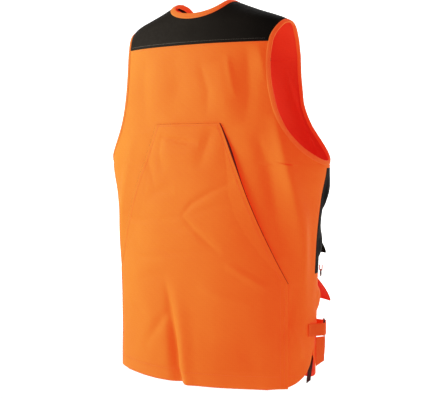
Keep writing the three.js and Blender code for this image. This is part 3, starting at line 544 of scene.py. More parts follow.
# a closed cloth sheet between an outer and an inner grid, with its edges rolled round
def closeSheet(name, outer, inner, uvGrid, outerMaterial, innerMaterial, roll=0.45):
    rows, columns = outer.shape[:2]
    count = rows * columns
    index = np.arange(count).reshape(rows, columns)
    a, b, c, d = index[:-1, :-1], index[:-1, 1:], index[1:, 1:], index[1:, :-1]
    outerFaces = np.stack([a, b, c, d], axis=-1).reshape(-1, 4)
    innerFaces = np.stack([a, d, c, b], axis=-1).reshape(-1, 4) + count
    border = np.concatenate([index[0, :-1], index[:-1, -1], index[-1, :0:-1], index[:0:-1, 0]])
    inside = np.concatenate([index[1, :-1], index[:-1, -2], index[-2, :0:-1], index[:0:-1, 1]])
    outs, ins = outer.reshape(-1, 3), inner.reshape(-1, 3)
    middle = (outs[border] + ins[border]) / 2
    away = middle - (outs[inside] + ins[inside]) / 2
    away /= np.maximum(np.linalg.norm(away, axis=1, keepdims=True), 1e-6)
    thick = np.linalg.norm(outs[border] - ins[border], axis=1, keepdims=True)
    rolled = middle + away * thick * roll
    ring = np.arange(len(border)) + 2 * count
    after = np.roll(ring, -1)
    nextBorder = np.roll(border, -1)
    rimOuter = np.stack([nextBorder, border, ring, after], axis=-1)
    rimInner = np.stack([after, ring, border + count, nextBorder + count], axis=-1)
    points = np.concatenate([outs, ins, rolled])
    faces = np.concatenate([outerFaces, innerFaces, rimOuter, rimInner])
    if enclosedVolume(points, faces) < 0:
        faces = faces[:, ::-1]
    uv = np.concatenate([uvGrid.reshape(-1, 2)] * 2 + [uvGrid.reshape(-1, 2)[border]])
    which = np.zeros(len(faces), dtype=np.int32)
    which[len(outerFaces):len(outerFaces) + len(innerFaces)] = 1
    which[len(outerFaces) + len(innerFaces) + len(rimOuter):] = 1
    return makeObject(name, points, faces, [outerMaterial, innerMaterial], which, uv)


# steps from 0 to 1, drawn together at both ends so that seams and hems are round
def endSteps(count, ease=0.35):
    t = np.linspace(0, 1, count + 1)
    return t * (1 - ease) + ease * (1 - np.cos(math.pi * t)) / 2


def flatSize(points):
    across = np.linalg.norm(np.diff(points, axis=1), axis=2)
    along = np.linalg.norm(np.diff(points, axis=0), axis=2)
    u, v = np.diff(points, axis=1)[:-1], np.diff(points, axis=0)[:, :-1]
    area = np.linalg.norm(np.cross(u, v), axis=2).sum()
    width, length = across.sum(axis=1).max(), along.sum(axis=0).max()
    return float(width), float(length), float(min(area, 0.999 * width * length))


# a panel on the skin; x and z are grids, lift how far its inner face stands off
def clothPanel(name, x, z, side, node, material, inside, lift=0.0, thick=None, body="vest", folded=True):
    thick = thick or cut["cloth"]
    outer, normal = skin(x, z, side, lift + thick, folded)
    inner, _ = skin(x, z, side, lift, folded)
    uv = np.stack([arcOf(x, z, side), z], axis=-1)
    piece = closeSheet(name, outer, inner, uv, material, inside)
    width, length, area = flatSize(skin(x, z, side, lift, False)[0])
    finishPiece(piece, [node], body)
    declareSheet(piece, width, length, area / (width * length))
    return piece


def finishPiece(piece, replaced, body):
    if replaced:
        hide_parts(*replaced)
    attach(piece, body)


sheetSizes = []


# strips under 1 cm wide are too small to be declared
def declareSheet(piece, width, length, share):
    if width > 0.0101:
        sheetSizes.append((piece.name, width, length, share))


# shell panels

hemZ = -cut["length"]
half = cut["gap"] / 2


# grids of x and z between two heights, running from one edge curve to another
def heightGrid(bottom, top, rows, columns, edges, side, ease=0.3):
    t = endSteps(rows, ease)
    z = bottom + (top - bottom) * t
    low, high = edges(z)
    s = endSteps(columns, ease)
    angle = angleAt(low, z)[:, None] * (1 - s) + angleAt(high, z)[:, None] * s
    z2 = np.repeat(z[:, None], columns + 1, axis=1)
    return halfWidth(z2) * np.cos(angle), z2


def makeBackPanel():
    def edges(z):
        limit = panelHalf(z, back, cut["backCorner"])
        return -limit, limit

    x, z = heightGrid(hemZ, -cut["backYoke"], 190, 150, edges, back)
    clothPanel("back-panel", x, z, back, "back_panel", blaze, lining)


def makeBackYoke():
    top = np.concatenate([
        np.linspace(shoulderHalf - cut["armBand"] / 2 + 0.002, neckOuter, 26)[:-1],
        neckOuter * np.cos(np.linspace(0, math.pi, 49)),
        np.linspace(-neckOuter, -shoulderHalf + cut["armBand"] / 2 - 0.002, 26)[1:],
    ])
    topZ = np.where(np.abs(top) < neckOuter - 1e-6, neckBackZ(top), ridgeZ(np.abs(top) * 1.00004))
    t = 1 - (1 - np.linspace(0, 1, 41)) ** 1.9
    bottomZ = -cut["backYoke"] - 0.0015
    z = bottomZ + (topZ[None, :] - bottomZ) * t[:, None]
    share = top / top[0]
    edgeZ = bottomZ + (topZ[0] - bottomZ) * t
    edge = np.minimum(panelHalf(edgeZ, back), top[0])
    lowEdge = panelHalf(np.array(bottomZ), back)
    straight = lowEdge + (top[0] - lowEdge) * t
    x = share[None, :] * lowEdge * (1 - t[:, None]) + top[None, :] * t[:, None]
    x = x + (edge - straight)[:, None] * share[None, :] ** 3
    clothPanel("back-yoke", x, z, back, "back_yoke", umber, lining, lift=0.0004)


facingReach = 0.079


def makeFront(name, hand):
    # the yoke runs from the shoulder ridge to its seam
    inner, outer = neckOuter, shoulderHalf - cut["armBand"] / 2 + 0.002
    s = endSteps(44)[None, :]
    t = ((1 - (1 - np.linspace(0, 1, 45)) ** 1)[:, None]) ** 1.8
    endZ = -cut["frontYoke"] - 0.0015
    z = ridgeZ((inner + (outer - inner) * s) * 1.00004) * (1 - t) + endZ * t
    neckZ = float(ridgeZ(inner)) * (1 - t) + endZ * t
    armZ = float(ridgeZ(outer)) * (1 - t) + endZ * t
    low = np.where(t <= 0, inner, neckHalfAt(neckZ))
    high = np.where(t <= 0, outer, np.minimum(outer, panelHalf(armZ, front)))
    x = low + (high - low) * s
    yoke = clothPanel(
        f"front-yoke-{name}", hand * x, z, front, f"front_yoke_{name}", umber, lining, lift=0.0004
    )
    # a dark facing runs round the neck on the inside
    for face in yoke.data.polygons:
        if abs(face.center.x) < facingReach:
            face.material_index = 0

    def edges(z):
        return hand * np.maximum(cut["placket"], neckHalfAt(z)), hand * panelHalf(z, front, cut["frontCorner"])

    x, z = heightGrid(-cut["chestSeam"], -cut["frontYoke"], 90, 70, edges, front)
    clothPanel(f"front-upper-{name}", x, z, front, f"front_upper_{name}", blaze, lining)
    x, z = heightGrid(-cut["waistSeam"] - 0.0015, -cut["chestSeam"] + 0.0015, 80, 70, edges, front)
    clothPanel(f"chest-panel-{name}", x, z, front, f"chest_panel_{name}", umber, lining, lift=0.0003)
    x, z = heightGrid(hemZ, -cut["waistSeam"], 90, 70, edges, front)
    clothPanel(f"front-lower-{name}", x, z, front, f"front_lower_{name}", blaze, lining)


makeBackPanel()
makeBackYoke()
for handName, hand in hands.items():
    makeFront(handName, hand)
print("shell panels made")

# game pouch

pouch = {
    "top": 0.245, "topHalf": 0.078, "sideHalf": 0.203, "mouthEnd": 0.552, "standOff": 0.009, "hemGap": 0.003,
    "lift": 0.0026, "thick": 0.0016,
}


def pouchHalf(z):
    t = np.clip((-z - pouch["top"]) / (pouch["mouthEnd"] - pouch["top"]), 0, 1)
    return pouch["topHalf"] + (pouch["sideHalf"] - pouch["topHalf"]) * t


def pouchBulge(x, z):
    down = np.clip((-z - pouch["top"]) / (pouch["mouthEnd"] - pouch["top"]), 0, 1)
    mouth = 0.55 * np.sin(math.pi * down)
    middle = 1 - np.abs(x / pouchHalf(z)) ** 4
    sewn = np.minimum(1, np.minimum((-pouch["top"] - z) / 0.06, (z - hemZ - pouch["hemGap"]) / 0.03))
    return pouch["standOff"] * np.clip(sewn, 0, 1) * np.maximum(mouth, middle * 0.8)


def makePouch():
    x, z = heightGrid(
        hemZ + pouch["hemGap"], -pouch["top"], 170, 130, lambda z: (-pouchHalf(z), pouchHalf(z)), back, ease=0.2
    )
    lift = pouch["lift"] + pouchBulge(x, z)
    clothPanel("game-pouch", x, z, back, "game_pouch", blaze, lining, lift=lift, thick=pouch["thick"])


makePouch()
print("game pouch made")

# tapes, cords and stitches


def unit(v):
    return v / np.maximum(np.linalg.norm(v, axis=-1, keepdims=True), 1e-9)


def tangents(points, closed):
    if closed:
        return unit(np.roll(points, -1, axis=0) - np.roll(points, 1, axis=0))
    return unit(np.gradient(points, axis=0))


def lengthsAlong(points):
    return np.concatenate(([0], np.cumsum(np.linalg.norm(np.diff(points, axis=0), axis=1))))


# a smooth path through a few points, at even steps
def smoothPath(points, step):
    points = np.array(points, float)
    at = lengthsAlong(points)
    curves = [smoothCurve(list(zip(at, points[:, k]))) for k in range(points.shape[1])]
    count = max(4, int(at[-1] / step))
    t = np.linspace(0, at[-1], count + 1)
    return np.stack([c(t) for c in curves], axis=-1)


# a flat or round strip whose middle runs along points: normals point out of its face
def tapeAlong(name, points, normals, width, thick, material, closed=False, corner=4.0, sides=14, pucker=0.0, spin=None):
    ahead = tangents(points, closed)
    normals = unit(normals - ahead * np.sum(normals * ahead, axis=1, keepdims=True))
    across = np.cross(ahead, normals)
    angle = np.arange(sides) * 2 * math.pi / sides + math.pi / sides
    ca, sa = np.cos(angle), np.sin(angle)
    u = np.sign(ca) * np.abs(ca) ** (2 / corner)
    v = np.sign(sa) * np.abs(sa) ** (2 / corner)
    width = np.broadcast_to(np.asarray(width, float), (len(points),))
    thick = np.broadcast_to(np.asarray(thick, float), (len(points),))
    along = lengthsAlong(points)
    ripple = 1 + pucker * np.sin(along * 6.28 / 0.0064) * np.sin(along * 6.28 / 0.047 + 1)
    ring = (
        points[:, None]
        + across[:, None] * (u * width[:, None] / 2)[..., None]
        + normals[:, None] * (v * (thick * ripple)[:, None] / 2)[..., None]
    )
    count = len(points)
    index = np.arange(count * sides).reshape(count, sides)
    after = np.roll(index, -1, axis=1)
    if closed:
        ahead2, after2 = np.roll(index, -1, axis=0), np.roll(after, -1, axis=0)
        faces = np.stack([index, after, after2, ahead2], axis=-1).reshape(-1, 4)
    else:
        faces = np.stack([index[:-1], after[:-1], after[1:], index[1:]], axis=-1).reshape(-1, 4)
    points3 = ring.reshape(-1, 3)
    uv = np.stack([np.broadcast_to(u * 0.5, ring.shape[:2]) * width[:, None], np.repeat(along[:, None], sides, 1)], axis=-1)
    faces = faces.tolist()
    if enclosedVolume(points3, faces) < 0:
        faces = [f[::-1] for f in faces]
        caps = [index[0].tolist(), index[-1][::-1].tolist()]
    else:
        caps = [index[0][::-1].tolist(), index[-1].tolist()]
    if not closed:
        faces += caps
    return makeObject(name, points3, faces, [material], None, uv.reshape(-1, 2))


def declareTape(piece, points, width, node, body):
    finishPiece(piece, [node] if node else [], body)
    declareSheet(piece, width, float(lengthsAlong(points)[-1]), 0.98)


threads = {"pitch": 0.0034, "length": 0.0027, "width": 0.00075, "height": 0.0005}
threadMeshes = {}


# a row of stitches along points on the cloth, kept with the others of its body
def stitchRow(points, normals, body="vest", thread="orange", every=1.0):
    along = lengthsAlong(points)
    pitch = threads["pitch"] * every
    starts = np.arange(pitch / 2, along[-1] - pitch, pitch)

    def read(at, values):
        return np.stack([np.interp(at, along, values[:, k]) for k in range(3)], axis=-1)

    a, b = read(starts, points), read(starts + threads["length"] * every, points)
    n = unit(read(starts, normals))
    ahead = unit(b - a)
    side = np.cross(n, ahead) * threads["width"] / 2
    lowered = n * threads["height"] * 0.8
    top = n * threads["height"]
    inset = (b - a) * 0.22
    corners = [
        a - side * 0.5 - lowered, a + side * 0.5 - lowered, b + side * 0.5 - lowered, b - side * 0.5 - lowered,
        a - side + inset + top, a + side + inset + top, b + side - inset + top, b - side - inset + top,
    ]
    block = np.stack(corners, axis=1).reshape(-1, 3)
    quads = np.array([(0, 1, 2, 3), (4, 7, 6, 5), (0, 4, 5, 1), (1, 5, 6, 2), (2, 6, 7, 3), (3, 7, 4, 0)])
    kept = threadMeshes.setdefault((body, thread), ([], []))
    offset = sum(len(p) for p in kept[0])
    faces = (quads[None] + 8 * np.arange(len(a))[:, None, None]).reshape(-1, 4) + offset
    kept[0].append(block)
    kept[1].append(faces)


# stitches along x and z on the back or front
def seam(xs, zs, side, lift=None, **how):
    count = max(len(np.atleast_1d(xs)), len(np.atleast_1d(zs)), 2)
    fine = np.linspace(0, 1, 160)
    xs = np.interp(fine, np.linspace(0, 1, count), np.broadcast_to(xs, (count,)))
    zs = np.interp(fine, np.linspace(0, 1, count), np.broadcast_to(zs, (count,)))
    height = cut["cloth"] if lift is None else (lift(xs, zs) if callable(lift) else lift)
    points, normals = skin(xs, zs, side, height)
    stitchRow(points, normals, **how)


def makeThreads():
    for (body, thread), (blocks, faces) in threadMeshes.items():
        points, quads = np.concatenate(blocks), np.concatenate(faces)
        if enclosedVolume(points, quads) < 0:
            quads = quads[:, ::-1]
        material = threadOrange if thread == "orange" else threadDark
        piece = makeObject(f"stitches-{thread}-{body}", points, quads, [material], smooth=False)
        finishPiece(piece, [], body)


# bindings round the armholes and the neck

binding = {"width": 0.0092, "thick": 0.0046, "pucker": 0.10, "stitch": 0.0016}


def makeArmBinding(name, hand):
    t = (1 - np.cos(np.linspace(0, math.pi, 110))) / 2
    levels = shoulderZ + (armBottomZ - shoulderZ) * t
    parts = []
    for side, zs in ((back, levels), (front, levels[-2:0:-1])):
        xs = hand * np.minimum(armX(zs, side), halfWidth(zs) * 0.99999)
        parts.append(skin(xs, zs, side, cut["cloth"] / 2))
    points = np.concatenate([p[0] for p in parts])
    normals = np.concatenate([p[1] for p in parts])
    piece = tapeAlong(
        f"armhole-binding-{name}", points, normals, binding["width"], binding["thick"], bindingCloth,
        closed=True, corner=3.2, sides=18, pucker=binding["pucker"],
    )
    declareTape(piece, np.concatenate([points, points[:1]]), 0.0125, f"armhole_binding_{name}", "vest")
    across = np.cross(tangents(points, True), unit(normals)) * hand
    row = points + across * binding["stitch"] + unit(normals) * binding["thick"] * 0.5
    stitchRow(row, normals)


def makeNeckBinding():
    extra = cut["neckBand"] / 2
    frontStart = math.acos((cut["placket"] - 0.003) / cut["neckHalf"])
    parts = []
    for side, angles in (
        (front, np.linspace(frontStart, 0, 60)),
        (back, np.linspace(0, math.pi, 80)[1:-1]),
        (front, np.linspace(math.pi, math.pi - frontStart, 60)),
    ):
        x, z = neckPoint(angles, side, extra)
        parts.append(skin(x, z, side, cut["cloth"] / 2 + 0.0004))
    points = np.concatenate([p[0] for p in parts])
    normals = np.concatenate([p[1] for p in parts])
    piece = tapeAlong(
        "neck-binding", points, normals, cut["neckBand"] + 0.001, 0.0042, bindingCloth, corner=3.4, sides=18, pucker=0.08
    )
    declareTape(piece, points, 0.0135, "neck_binding", "vest")
    stitchRow(points + unit(normals) * 0.0021 + np.cross(tangents(points, False), unit(normals)) * 0.002, normals)


for handName, hand in hands.items():
    makeArmBinding(handName, hand)
makeNeckBinding()

# painted shade: a dark strip along each pouch mouth stands for the shadowed gap under its edge, widest a third of the
# way down
mouthShadeStrip = {"thin": 0.0015, "wide": 0.0048, "hidden": 0.0012, "thick": 0.0018}


def pouchTop(x, z):
    return pouch["lift"] + pouchBulge(x, z) + pouch["thick"]


def makePouchShadeAndSeams():
    for name, hand in hands.items():
        t = np.linspace(0, 1, 90)
        z = -pouch["top"] + (pouch["top"] - pouch["mouthEnd"]) * t
        x = hand * pouchHalf(z)
        points, normals = skin(x, z, back, pouchTop(x, z) - pouch["thick"] * 0.6)
        # the painted shade widens on the wearer's right, standing for the gap under the mouth; on the left it stays
        # thin
        shadeSpread = np.exp(-(((t - 0.17) / 0.13) ** 2)) if hand < 0 else 0 * t
        thin = mouthShadeStrip["thin"] if hand < 0 else mouthShadeStrip["hidden"]
        width = thin + (mouthShadeStrip["wide"] - thin) * shadeSpread
        ahead = tangents(points, False)
        outward = np.cross(ahead, unit(normals)) * hand
        piece = tapeAlong(
            f"pouch-mouth-shade-{name}", points + outward * (width[:, None] * 0.5 - 0.0006), normals, width, mouthShadeStrip["thick"], mouthShade,
            corner=2.4,
        )
        finishPiece(piece, [], "vest")
        inner = lambda xs, zs: pouchTop(xs, zs) + 0.0001
        seam(x - hand * 0.008, z, back, inner)
        sideZ = np.array([-pouch["mouthEnd"], hemZ + 0.004])
        seam(hand * np.array([0.1975, 0.1975]), sideZ, back, inner)
        seam(hand * np.array([0.1915, 0.1915]), sideZ, back, inner)
        seam(hand * np.array([0.203, 0.203]), sideZ, back)
    top = np.array([-pouch["top"] - 0.003] * 2)
    seam(np.array([-0.078, 0.078]), top, back, lambda xs, zs: pouchTop(xs, zs))
    t = np.linspace(-1, 1, 60)
    x = t * pouch["topHalf"]
    z = np.full(60, -pouch["top"] + 0.0004)
    points, normals = skin(x, z, back, cut["cloth"] + 0.0009)
    piece = tapeAlong("pouch-top-edge", points, normals, 0.0008, 0.0012, umber, corner=2.4)
    finishPiece(piece, [], "vest")


makePouchShadeAndSeams()

# seams of the shell: each yoke seam, the hem and the front seams


def shellSeams():
    yokeX = float(panelHalf(np.array(-cut["backYoke"]), back)) - 0.006
    seam(np.array([-yokeX, yokeX]), np.full(2, -cut["backYoke"] + 0.0035), back, cut["cloth"] + 0.0005, thread="dark")
    seam(np.array([-yokeX, yokeX]), np.full(2, -cut["backYoke"] - 0.0045), back)
    for lift, zs, reach in ((None, hemZ + 0.027, 0.98), ):
        edge = float(panelHalf(np.array(zs), back, cut["backCorner"])) * reach
        for a, b in ((0.203, edge), (-edge, -0.203)):
            seam(np.array([a, b]), np.full(2, zs), back)
        seam(np.array([-0.196, 0.196]), np.full(2, zs), back, pouchTop)
    for hand in hands.values():
        for z, lift in ((-cut["frontYoke"] - 0.0045, None), (-cut["chestSeam"] + 0.0045, None), (-cut["waistSeam"] - 0.0045, None)):
            inner = max(0.012, float(neckHalfAt(np.array(z))) + 0.004)
            outer = float(panelHalf(np.array(z), front)) - 0.006
            seam(hand * np.array([inner, outer]), np.full(2, z), front, lift)
        seam(hand * np.array([0.0125, 0.0125]), np.array([-0.130, hemZ + 0.01]), front)
        outer = float(panelHalf(np.array(hemZ + 0.027), front, cut["frontCorner"])) - 0.006
        seam(hand * np.array([0.016, outer]), np.full(2, hemZ + 0.027), front)


shellSeams()
print("bindings and seams made")

# pockets and flaps

pocketStyles = {
    "cargo": {
        "across": 0.142, "width": 0.118, "depth": 0.566, "height": 0.154, "reach": 0.011, "cloth": blaze,
        "flapDepth": 0.550, "flapDrop": 0.047, "flapReach": 0.032, "over": 0.005, "slot": "blaze_cloth",
    },
    "chest": {
        "across": 0.150, "width": 0.096, "depth": 0.476, "height": 0.052, "reach": 0.007, "cloth": umber,
        "flapDepth": 0.464, "flapDrop": 0.037, "flapReach": 0.024, "over": 0.004, "slot": "umber_cloth",
    },
}
pocketShape = {"base": 0.0026, "cloth": 0.0016, "flapThick": 0.0022, "flapStart": 0.0042, "flare": 1.5}


def pocketX(hand, s, z, p, half):
    low = angleAt(p["across"] - half, z)
    high = angleAt(np.minimum(p["across"] + half, 0.97 * halfWidth(z)), z)
    return hand * halfWidth(z) * np.cos(low + (high - low) * s)


def pocketLift(s, t, p):
    return pocketShape["base"] + p["reach"] * (1 - np.abs(2 * s - 1) ** 3) * (1 - (1 - t) ** 4)


def flapLift(t, p):
    return p["flapReach"] + (pocketShape["flapStart"] - p["flapReach"]) * t ** pocketShape["flare"]


def makePocket(kind, name, hand):
    p = pocketStyles[kind]
    half = p["width"] / 2
    t = np.repeat(endSteps(60)[:, None], 61, axis=1)
    s = np.repeat(endSteps(60)[None, :], 61, axis=0)
    z = -p["depth"] - p["height"] * (1 - t)
    x = pocketX(hand, s, z, p, half)
    thread = "dark" if kind == "chest" else "orange"
    lift = pocketLift(s, t, p) + 0.0006 * np.sin(s * 23 + t * 5) * np.sin(math.pi * t) * np.sin(math.pi * s)
    clothPanel(
        f"{kind}-pocket-{name}", x, z, front, f"{kind}_pocket_{name}", p["cloth"], lining,
        lift=lift, thick=pocketShape["cloth"],
    )

    def onPocket(sAt, tAt):
        sAt, tAt = np.broadcast_arrays(np.asarray(sAt, float), np.asarray(tAt, float))
        zAt = -p["depth"] - p["height"] * (1 - tAt)
        rise = pocketLift(sAt, tAt, p) + pocketShape["cloth"]
        return skin(pocketX(hand, sAt, zAt, p, half), zAt, front, rise)

    line = np.linspace(0.02, 0.98, 80)
    edge = 0.004 / p["width"]
    stitchRow(*onPocket(edge, line), thread=thread)
    stitchRow(*onPocket(1 - edge, line), thread=thread)
    stitchRow(*onPocket(line, 0.03), thread=thread)
    stitchRow(*onPocket(line, 0.90), thread=thread)

    # the flap's lower edge dips and lifts a little between its corners and the snap
    body = f"{kind}_flap_{name}"
    z = -p["flapDepth"] - p["flapDrop"] * (1 - t)
    x = pocketX(hand, s, z, p, half + p["over"])
    wave = 0.0012 * np.cos((s - 0.5) * 2 * math.pi * 2) * (1 - t)
    clothPanel(
        f"{kind}-flap-{name}", x, z, front, f"{kind}_flap_{name}", p["cloth"], lining if kind == "cargo" else umber,
        lift=flapLift(t, p) + wave, thick=pocketShape["flapThick"], body=body,
    )

    def onFlap(sAt, tAt):
        sAt, tAt = np.broadcast_arrays(np.asarray(sAt, float), np.asarray(tAt, float))
        zAt = -p["flapDepth"] - p["flapDrop"] * (1 - tAt)
        rise = flapLift(tAt, p) + 0.0012 * np.cos((sAt - 0.5) * 2 * math.pi * 2) * (1 - tAt)
        xAt = pocketX(hand, sAt, zAt, p, half + p["over"])
        return skin(xAt, zAt, front, rise + pocketShape["flapThick"])

    stitchRow(*onFlap(edge, line), body=body, thread=thread)
    stitchRow(*onFlap(1 - edge, line), body=body, thread=thread)
    stitchRow(*onFlap(np.linspace(edge, 1 - edge, 80), 0.10), body=body, thread=thread)
    stitchRow(*onFlap(line, 0.92), body=body, thread=thread)


def makeStrip(name, points, normals, width, thick, material, node, body):
    piece = tapeAlong(name, points, normals, width, thick, material, corner=7.0, sides=16)
    declareTape(piece, points, width, node, body)
    return piece


for kind in pocketStyles:
    for handName, hand in hands.items():
        makePocket(kind, handName, hand)
print("pockets made")

# side straps: arcs run forwards from the side seam, lifts out from the body

strap = {
    "z": -0.645, "width": 0.0245, "thick": 0.0016, "lift": 0.0034, "stand": 0.011, "turn": 0.0032,
    "rearBar": 0.020, "frontBar": 0.0358, "tabBack": 0.016,
}


def around(hand, arc, z, lift):
    arc, lift = np.broadcast_arrays(np.asarray(arc, float), np.asarray(lift, float))
    out = []
    for s, rise in zip(arc, lift):
        side = front if s >= 0 else back
        a = float(halfWidth(z))
        b = abs(float(centreY(z, side) - sideY(z)))
        angle = 0.0
        for _ in range(60):
            angle += abs(s) / 60 / math.hypot(a * math.sin(angle), b * math.cos(angle))
        ox, oy = math.cos(angle) / a, side * math.sin(angle) / b
        x, y = a * math.cos(angle), float(sideY(z)) + side * b * math.sin(angle)
        if side == back:
            rise = rise + float(foldLift(np.array([hand * x]), np.array([z]), back)[0])
        scale = rise / math.hypot(ox, oy)
        out.append((hand * (x + ox * scale), y + oy * scale, z))
    return np.array(out)


def strapPiece(name, hand, path, node, z):
    path = smoothPath(np.array(path), 0.0012)
    points = around(hand, path[:, 0], z, path[:, 1])
    up = np.array((0.0, 0.0, 1.0))
    normals = np.cross(tangents(points, False), up) * hand
    piece = tapeAlong(name, points, normals, strap["width"], strap["thick"], blazeWebbing, corner=7.0, sides=16)
    declareTape(piece, points, strap["width"], node, "vest")
    return points, normals


def makeStraps(name, hand):
    low = strap["lift"]
    bar = low + strap["stand"] + strap["turn"]
    outer, inner = bar + strap["turn"], bar - strap["turn"]
    rear, ahead = strap["rearBar"], strap["frontBar"]
    half = np.linspace(0, math.pi, 7)
    path = [(-strap["tabBack"], low), (-0.012, low), (-0.004, low + (outer - low) * 0.16), (0.004, low + (outer - low) * 0.56)]
    path += [(rear - 0.008, outer)]
    path += [(rear + strap["turn"] * math.sin(a), bar + strap["turn"] * math.cos(a)) for a in half]
    path += [(rear - 0.006, inner)]
    points, normals = strapPiece(f"strap-tab-{name}", hand, path, f"strap_tab_{name}", strap["z"])
    for row in (-0.010, 0.010):
        edge = points[2:12] + np.array((0, 0, row)) + unit(normals[2:12]) * strap["thick"] / 2
        stitchRow(edge, normals[2:12])
    path = [(ahead + 0.020, outer), (ahead + 0.006, outer)]
    path += [(ahead - strap["turn"] * math.sin(a), bar + strap["turn"] * math.cos(a)) for a in half]
    path += [(ahead + 0.007, inner), (ahead + 0.014, low + (inner - low) * 0.4), (ahead + 0.021, low)]
    strapPiece(f"strap-webbing-{name}", hand, path, f"strap_webbing_{name}", strap["z"])


tail = {
    "arc": 0.017, "z": -0.6622, "lift": 0.011, "turn": 0.75, "width": 0.022, "length": 0.056, "slant": 0.008,
}


# a place beside the body, and the way it faces, turned towards the back
def standOff(hand, style):
    place, beyond = around(hand, [style["arc"]] * 2, style["z"], [style["lift"], style["lift"] + 0.001])
    out = unit(beyond - place)
    turn = hand * style["turn"]
    c, s = math.cos(turn), math.sin(turn)
    return place, np.array((out[0] * c - out[1] * s, out[0] * s + out[1] * c, 0.0))


# a flat hanging strip cut at a slant, with a slight twist down its length
def makeHanging(name, hand, node, body, style, material, lean=0.0, above=0.0, curl=0.0):
    place, out = standOff(hand, style)
    level = np.cross((0.0, 0.0, 1.0), out)
    rows, columns = 40, 12
    t = np.linspace(0, 1, rows + 1)[:, None]
    u = np.linspace(-1, 1, columns + 1)[None, :]
    cutOff = style["slant"] * (1 - hand * u) / 2
    drop = -above + (style["length"] + above - cutOff) * t
    twist = curl * (t**2)
    flat = u * style["width"] / 2
    x = flat * np.cos(twist) + lean * t * hand
    y = flat * np.sin(twist) * hand + 0.0010 * np.sin(t * 5 + 0.5) * t
    middle = place + x[..., None] * level + y[..., None] * out + np.stack([0 * drop, 0 * drop, -drop], axis=-1)
    du = np.gradient(middle, axis=1)
    dv = np.gradient(middle, axis=0)
    normal = unit(np.cross(du, dv))
    thick = 0.0016
    uv = np.stack([flat + 0 * drop, drop + 0 * flat], axis=-1)
    piece = closeSheet(name, middle + normal * thick / 2, middle - normal * thick / 2, uv, material, material)
    finishPiece(piece, [node], body)
    declareSheet(piece, style["width"], style["length"] + above, 0.9)


hemTab = {
    "arc": 0.012, "z": -0.706, "lift": -0.0054, "turn": 0.45, "width": 0.011, "length": 0.046, "slant": 0.004,
}
ring = {"arc": 0.034, "z": -0.538, "lift": 0.008, "turn": 0, "wire": 0.002}


def makeRingTab(name, hand):
    place, out = standOff(hand, ring)
    turn = ring["wire"] / 2 + 0.0008 + 0.0008
    half = np.linspace(-math.pi / 2, math.pi / 2, 9)
    path = [(-turn, 0.009)] + [(turn * math.sin(a), -turn * math.cos(a)) for a in half] + [(turn, 0.009)]
    path = smoothPath(path, 0.0008)
    points = place + (-path[:, 0])[:, None] * out + np.stack([0 * path[:, 0]] * 2 + [path[:, 1] + 0.007], axis=-1)
    ahead = tangents(points, False)
    normals = np.cross(ahead, np.cross((0.0, 0.0, 1.0), out))
    makeStrip(f"ring-tab-{name}", points, normals, 0.005, 0.0016, blazeWebbing, f"ring_tab_{name}", "vest")


for handName, hand in hands.items():
    makeStraps(handName, hand)
    makeHanging(
        f"strap-tail-{handName}", hand, f"strap_tail_{handName}", f"strap_tail_{handName}", tail, blazeWebbing,
        curl=0.15,
    )
    makeHanging(
        f"hem-tab-{handName}", hand, f"hem_tab_{handName}", f"hem_tab_{handName}", hemTab, darkShadedWebbing,
        lean=0.007, above=0.006,
    )
    makeRingTab(handName, hand)

# the hanging loop sags inside the back of the neck


def makeHangLoop():
    u = np.linspace(-1, 1, 60)
    points, normals = skin(u * 0.030, -0.044 - 0.022 * (1 - u**4), back, -0.0020)
    makeStrip("hang-loop", points, normals, 0.008, 0.0016, darkShadedWebbing, "hang_loop", "hang_loop")


makeHangLoop()
print("straps and loops made")

# the zip: two tapes with their rows of teeth, leaning with the straight front edge

zipParts = {"top": 0.120, "bottom": 0.742, "tape": 0.020, "thick": 0.0012, "behind": 0.0018, "inner": 0.0013, "tooth": 0.0029}


def makeZip():
    top, _ = skin(np.array(0.0), np.array(-zipParts["top"]), front, 0.0, False)
    end, _ = skin(np.array(0.0), np.array(-zipParts["bottom"]), front, 0.0, False)
    down = unit(end - top)
    length = float(np.linalg.norm(end - top))
    inward = np.array((0.0, -down[2], down[1]))
    for name, hand in hands.items():
        t = np.linspace(0, 1, 200)[:, None]
        u = np.linspace(0, 1, 13)[None, :]
        x = hand * (zipParts["inner"] + zipParts["tooth"] + zipParts["tape"] * u) + 0 * t
        depth = zipParts["behind"] + 0.00025 * np.sin(t * 160) * u
        grid = top + down * (length * t)[..., None] + inward * (depth + 0 * x)[..., None]
        grid = grid + np.stack([x, 0 * x, 0 * x], axis=-1)
        thick = inward * zipParts["thick"] / 2
        uv = np.stack([x, length * t + 0 * x], axis=-1)
        piece = closeSheet(f"zip-tape-{name}", grid - thick, grid + thick, uv, tapeCloth, tapeCloth)
        finishPiece(piece, [f"zip_tape_{name}"], "vest")
        declareSheet(piece, zipParts["tape"], length, 0.99)
        makeTeeth(name, hand, top, down, inward, length)


